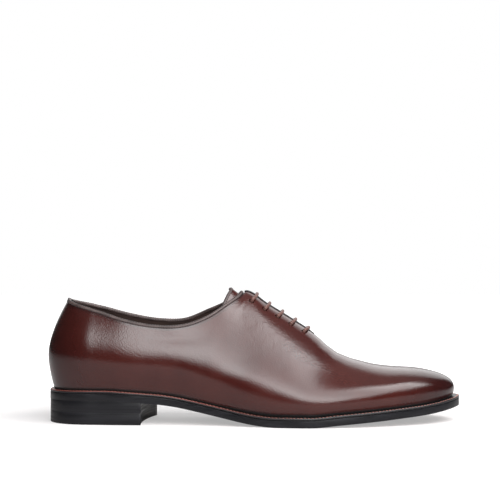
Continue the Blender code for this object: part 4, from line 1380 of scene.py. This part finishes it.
class OXFORD_OT_lace(bpy.types.Operator):
    """Run the lace through its eyelets"""

    bl_idname = "oxford.lace"
    bl_label = "Lace"

    def execute(self, context):
        look = context.scene.oxford_trim
        route = resample(lace_route(), step=0.55)
        for _ in range(2):
            route[1:-1] = route[1:-1] * 0.5 + (route[:-2] + route[2:]) * 0.25
        lace = sweep("waxed_lace", route, carried_guide(route),
                     ellipse(LACE_RADIUS, LACE_RADIUS, sides=14))
        lace.data.materials.append(lace_material(look))
        hand_over(lace, "lace_cotton", "lace")
        return {'FINISHED'}


def across_rows(outer, inner, steps, bow=None):
    """Rows of plan points from the outer side to the inner, bowed towards the heel."""
    t = np.linspace(0.0, 1.0, steps + 1)[None, :]
    outer, inner = (np.column_stack(edge)[:, None] for edge in (outer, inner))
    rows = outer + (inner - outer) * t[..., None]
    if bow is not None:
        rows[..., 0] -= bow[:, None] * (1 - (2 * t - 1) ** 2)
    return rows


def level(height):
    """A height that is the same everywhere."""
    return lambda x: np.full_like(np.atleast_1d(x), height)


def over_sole(*rises):
    """A height that follows the outsole's underside, at these rises over it."""
    return lambda x: sum(rises, sole_height(x))


def raise_slab(name, rows, low, high):
    """Body over plan rows: a grid laid low, extruded, and its upper side set high.

    low and high give the height in millimetres at each x."""
    flat = rows.reshape(-1, 2)
    points = np.column_stack((flat, low(flat[:, 0]))).reshape(*rows.shape[:2], 3)
    piece = lay_grid(name, points)
    edit_all(piece)
    bpy.ops.mesh.remove_doubles(threshold=0.02 * MM)
    bpy.ops.mesh.extrude_region_move(TRANSFORM_OT_translate={"value": (0.0, 0.0, MM)})
    bpy.ops.object.mode_set(mode='OBJECT')
    for vertex in piece.data.vertices:
        if vertex.select:
            vertex.co.z = float(high(vertex.co.x / MM + LAST_MIDDLE[0])[0]) * MM
    close_up(piece, merge=0.0)
    return piece


class OXFORD_OT_outsole(bpy.types.Operator):
    """Cut the outsole to the last, round its edge and line its underside"""

    bl_idname = "oxford.outsole"
    bl_label = "Outsole"

    def execute(self, context):
        look = context.scene.oxford_sole
        runs = runs_between("back", "toe_tip", step=2.2)
        edges = [plan(side, runs, sole_out(side, runs)) for side in (OUTER, INNER)]
        outsole = raise_slab("black_outsole", across_rows(*edges, steps=14), sole_height,
                             over_sole(OUTSOLE_THICK))
        round_edges(outsole, width=look.edge / MM, segments=3)
        outsole.data.materials.append(kept("sole_edge", sole_material, look))
        outsole.data.materials.append(underside_material(look))
        for face in outsole.data.polygons:
            face.material_index = int(face.normal.z < UNDERSIDE_NORMAL)
        shade(outsole, angle=50.0)
        hand_over(outsole, "sole_rubber", "outsole")
        return {'FINISHED'}


class OXFORD_OT_welt(bpy.types.Operator):
    """Cut the welt and sew its pale thread all round"""

    bl_idname = "oxford.welt"
    bl_label = "Welt"

    def execute(self, context):
        look = context.scene.oxford_sole
        runs = runs_between("back", "toe_tip", step=2.0)
        rows = []
        for side, order in last_loop(runs):
            foot = foot_out(side, order)
            outs = (sole_out(side, order), foot + WELT_SHOULDER, foot, foot - WALL - SLACK)
            lines = [np.column_stack(plan(side, order, out)) for out in outs]
            rows.append(np.stack(lines, axis=1))
        welt = raise_slab("stitched_welt", np.concatenate(rows), over_sole(WELT_RISE),
                          over_sole(WELT_RISE, WELT_THICK))
        round_edges(welt, width=0.4)
        welt.data.materials.append(welt_material(look))
        shade(welt, angle=50.0)
        hand_over(welt, "welt_leather", "welt")
        self.stitches(look)
        return {'FINISHED'}

    def stitches(self, look):
        """Slanting stitches near the welt's edge."""
        runs = runs_between("back", "toe_tip", step=1.0)
        top = over_sole(WELT_RISE, WELT_THICK, WELT_STITCH_LIFT)
        route = []
        for side, order in last_loop(runs):
            x, y = plan(side, order, sole_out(side, order) - WELT_STITCH_INSET)
            route.append(np.column_stack((x, y, top(x))))
        centres, ahead = spaced(np.concatenate(route), look.welt_pitch / MM)
        up = np.tile((0.0, 0.0, 1.0), (len(centres), 1))
        slanted = ahead + np.cross(ahead, up) * WELT_STITCH_LEAN
        stitches = sew("welt_stitches", centres, slanted, up, *WELT_STITCH)
        stitches.data.materials.append(thread_material("welt_thread", look.welt_thread))
        hand_over(stitches, "welt_leather")


class OXFORD_OT_heel(bpy.types.Operator):
    """Stack the heel's lifts and set the top piece under them"""

    bl_idname = "oxford.heel"
    bl_label = "Heel"

    def execute(self, context):
        look = context.scene.oxford_sole
        t = np.linspace(0.0, 1.0, 52)
        edges = []
        for side, breast in ((OUTER, BREAST_X_OUTER), (INNER, BREAST_X_INNER)):
            runs = run_at_x(breast) * t
            edges.append(plan(side, runs, sole_out(side, runs) - HEEL_INSET))
        rows = across_rows(*edges, steps=14, bow=BREAST_HOLLOW * t ** 2)
        for name, node, low, high in (
                ("stacked_heel", "heel_block", level(HEEL_TIP_THICK + LIFT_SEAM),
                 over_sole(-LIFT_SEAM)),
                ("heel_tip", "heel_top_piece", level(0.0), level(HEEL_TIP_THICK))):
            piece = raise_slab(name, rows, low, high)
            round_edges(piece, width=0.16)
            piece.data.materials.append(kept("stacked_lifts", heel_material, look))
            shade(piece, angle=50.0)
            hand_over(piece, "sole_rubber", node)
        return {'FINISHED'}


class OXFORD_OT_insole(bpy.types.Operator):
    """Lay the insole with its sock leather inside the wall"""

    bl_idname = "oxford.insole"
    bl_label = "Insole"

    def execute(self, context):
        look = context.scene.oxford_upper
        runs = runs_between("back", "toe_tip", step=3.0)
        inset = WALL + SLACK + GAP
        edges = [plan(side, runs, foot_out(side, runs) - inset) for side in (OUTER, INNER)]
        insole = raise_slab("sock_lining", across_rows(*edges, steps=14), over_sole(WELT_RISE),
                            over_sole(WELT_RISE, INSOLE_THICK))
        round_edges(insole, width=0.6)
        insole.data.materials.append(sock_material(look))
        shade(insole, angle=50.0)
        hand_over(insole, "lining_leather", "insole")
        return {'FINISHED'}


# The studio.

def white_floor_material():
    """Pale paper that fades into the white surround away from the shoe."""
    made, tree, shader = new_material("pale_floor", (0.9, 0.9, 0.9), 0.9)
    place = object_place(tree)
    reach = wire(tree, "ShaderNodeVectorMath", {0: place}, operation='LENGTH').outputs["Value"]
    tone = wire(tree, "ShaderNodeTexNoise", {"Vector": place, "Scale": 6.0})
    colour = blend_colours(tree, tone.outputs["Fac"], *map(rgba, FLOOR_SHADES))
    tree.links.new(colour, shader.inputs["Base Color"])
    shader.inputs["Emission Color"].default_value = WHITE
    seen = wire(tree, "ShaderNodeLightPath").outputs["Is Camera Ray"]
    glow = ramp(tree, reach, *FLOOR_FADE, *FLOOR_GLOW)
    tree.links.new(sums(tree, 'MULTIPLY', glow, seen), shader.inputs["Emission Strength"])
    return made


def softbox(name, power, size, place, aim, roll=0.0, hollow=0.0):
    """Area light facing a point, fading at its edges.

    If hollow, it is dimmer in the middle of its width and brighter to both sides of that."""
    made = bpy.data.lights.new(name, 'AREA')
    made.shape = 'RECTANGLE'
    made.size, made.size_y = size
    made.energy = power
    made.use_nodes = True
    tree = made.node_tree
    place_on = split(tree, wire(tree, "ShaderNodeNewGeometry").outputs["Parametric"])
    off_x, off_y = (sums(tree, 'ABSOLUTE', sums(tree, 'SUBTRACT', place_on[part], 0.5))
                    for part in ("X", "Y"))
    across = sums(tree, 'MULTIPLY', ramp(tree, off_x, 0.5, 0.3),
                  ramp(tree, off_x, 0.0, 0.38, 1.0 - hollow, 1.0 + hollow))
    glow = sums(tree, 'MULTIPLY', across, ramp(tree, off_y, 0.5, 0.25))
    tree.links.new(glow, tree.nodes["Emission"].inputs["Strength"])
    lamp = bpy.data.objects.new(name, made)
    bpy.context.scene.collection.objects.link(lamp)
    lamp.location = place
    facing = (Vector(aim) - Vector(place)).to_track_quat('-Z', 'Y').to_matrix()
    lamp.rotation_euler = (facing @ Matrix.Rotation(roll, 3, 'Z')).to_euler()


class OXFORD_OT_studio(bpy.types.Operator):
    """Set the pale floor, the soft light and the camera"""

    bl_idname = "oxford.studio"
    bl_label = "Studio"

    def execute(self, context):
        look = context.scene.oxford_studio
        deselect_all()
        bpy.ops.mesh.primitive_plane_add(size=1.0)
        floor = context.object
        floor.name = "pale_floor"
        for vertex in floor.data.vertices:
            vertex.co.x *= FLOOR_WIDTH
            vertex.co.y = FLOOR_BACK if vertex.co.y > 0 else FLOOR_FRONT
        floor.data.materials.append(white_floor_material())
        softbox("front_softbox", look.key, FRONT_SIZE, FRONT_PLACE, SHOE_CENTRE, FRONT_ROLL,
                FRONT_HOLLOW)
        softbox("back_panel", look.back, BACK_SIZE, BACK_PLACE, SHOE_CENTRE)
        self.surround(context, look)
        self.camera(context)
        context.scene.view_settings.view_transform = 'Standard'
        return {'FINISHED'}

    def surround(self, context, look):
        """White behind the shoe, and for its light a dim room with a brighter ceiling."""
        world = context.scene.world or bpy.data.worlds.new("studio_room")
        context.scene.world = world
        world.use_nodes = True
        tree = world.node_tree
        tree.nodes.clear()
        path = wire(tree, "ShaderNodeLightPath")
        toward = split(tree, wire(tree, "ShaderNodeTexCoord").outputs["Generated"])["Z"]
        overhead = ramp(tree, toward, 0.6, 0.95, look.surround, look.ceiling)
        room, white = (wire(tree, "ShaderNodeBackground", {"Color": WHITE, "Strength": strength})
                       for strength in (overhead, 1.0))
        both = wire(tree, "ShaderNodeMixShader", {0: path.outputs["Is Camera Ray"],
                                                  1: room.outputs[0], 2: white.outputs[0]})
        wire(tree, "ShaderNodeOutputWorld", {"Surface": both.outputs[0]})

    def camera(self, context):
        """Level camera on the outer side, a little over a metre away."""
        made = bpy.data.cameras.new("side_camera")
        made.sensor_width = SENSOR_WIDTH
        made.lens = SENSOR_WIDTH * FOCAL_PIXELS / PICTURE_WIDTH
        camera = bpy.data.objects.new("side_camera", made)
        context.scene.collection.objects.link(camera)
        camera.location = CAMERA_PLACE
        camera.rotation_euler = (math.radians(90.0), 0.0, 0.0)
        context.scene.camera = camera


# The add-on.

PANEL_ROWS = (
    ("Upper", "oxford_upper", ("oxford.upper", "oxford.insole")),
    ("Trim", "oxford_trim", ("oxford.collar", "oxford.tongue", "oxford.throat", "oxford.lace")),
    ("Sole and heel", "oxford_sole", ("oxford.outsole", "oxford.welt", "oxford.heel")),
    ("Studio", "oxford_studio", ("oxford.studio",)),
)


class OXFORD_PT_pieces(bpy.types.Panel):
    """The shoe's pieces, in the order that they are made"""

    bl_label = "Whole cut oxford"
    bl_idname = "OXFORD_PT_pieces"
    bl_space_type = 'VIEW_3D'
    bl_region_type = 'UI'
    bl_category = "Oxford"

    def draw(self, context):
        for label, group, operators in PANEL_ROWS:
            box = self.layout.box()
            box.label(text=label)
            look = getattr(context.scene, group)
            for name in look.__annotations__:
                box.prop(look, name)
            for operator in operators:
                box.operator(operator)


LOOKS = (("oxford_upper", OxfordUpperLook), ("oxford_trim", OxfordTrimLook),
         ("oxford_sole", OxfordSoleLook), ("oxford_studio", OxfordStudioLook))
OPERATORS = (OXFORD_OT_upper, OXFORD_OT_insole, OXFORD_OT_collar, OXFORD_OT_tongue,
             OXFORD_OT_throat, OXFORD_OT_lace, OXFORD_OT_outsole, OXFORD_OT_welt,
             OXFORD_OT_heel, OXFORD_OT_studio)


def register():
    for name, look in LOOKS:
        bpy.utils.register_class(look)
        setattr(bpy.types.Scene, name, PointerProperty(type=look))
    for operator in OPERATORS:
        bpy.utils.register_class(operator)
    bpy.utils.register_class(OXFORD_PT_pieces)


def unregister():
    bpy.utils.unregister_class(OXFORD_PT_pieces)
    for operator in reversed(OPERATORS):
        bpy.utils.unregister_class(operator)
    for name, look in reversed(LOOKS):
        delattr(bpy.types.Scene, name)
        bpy.utils.unregister_class(look)


def main():
    register()
    for operator in ("upper", "insole", "collar", "tongue", "throat", "lace", "outsole", "welt",
                     "heel", "studio"):
        getattr(bpy.ops.oxford, operator)()


if __name__ == "__main__":
    main()
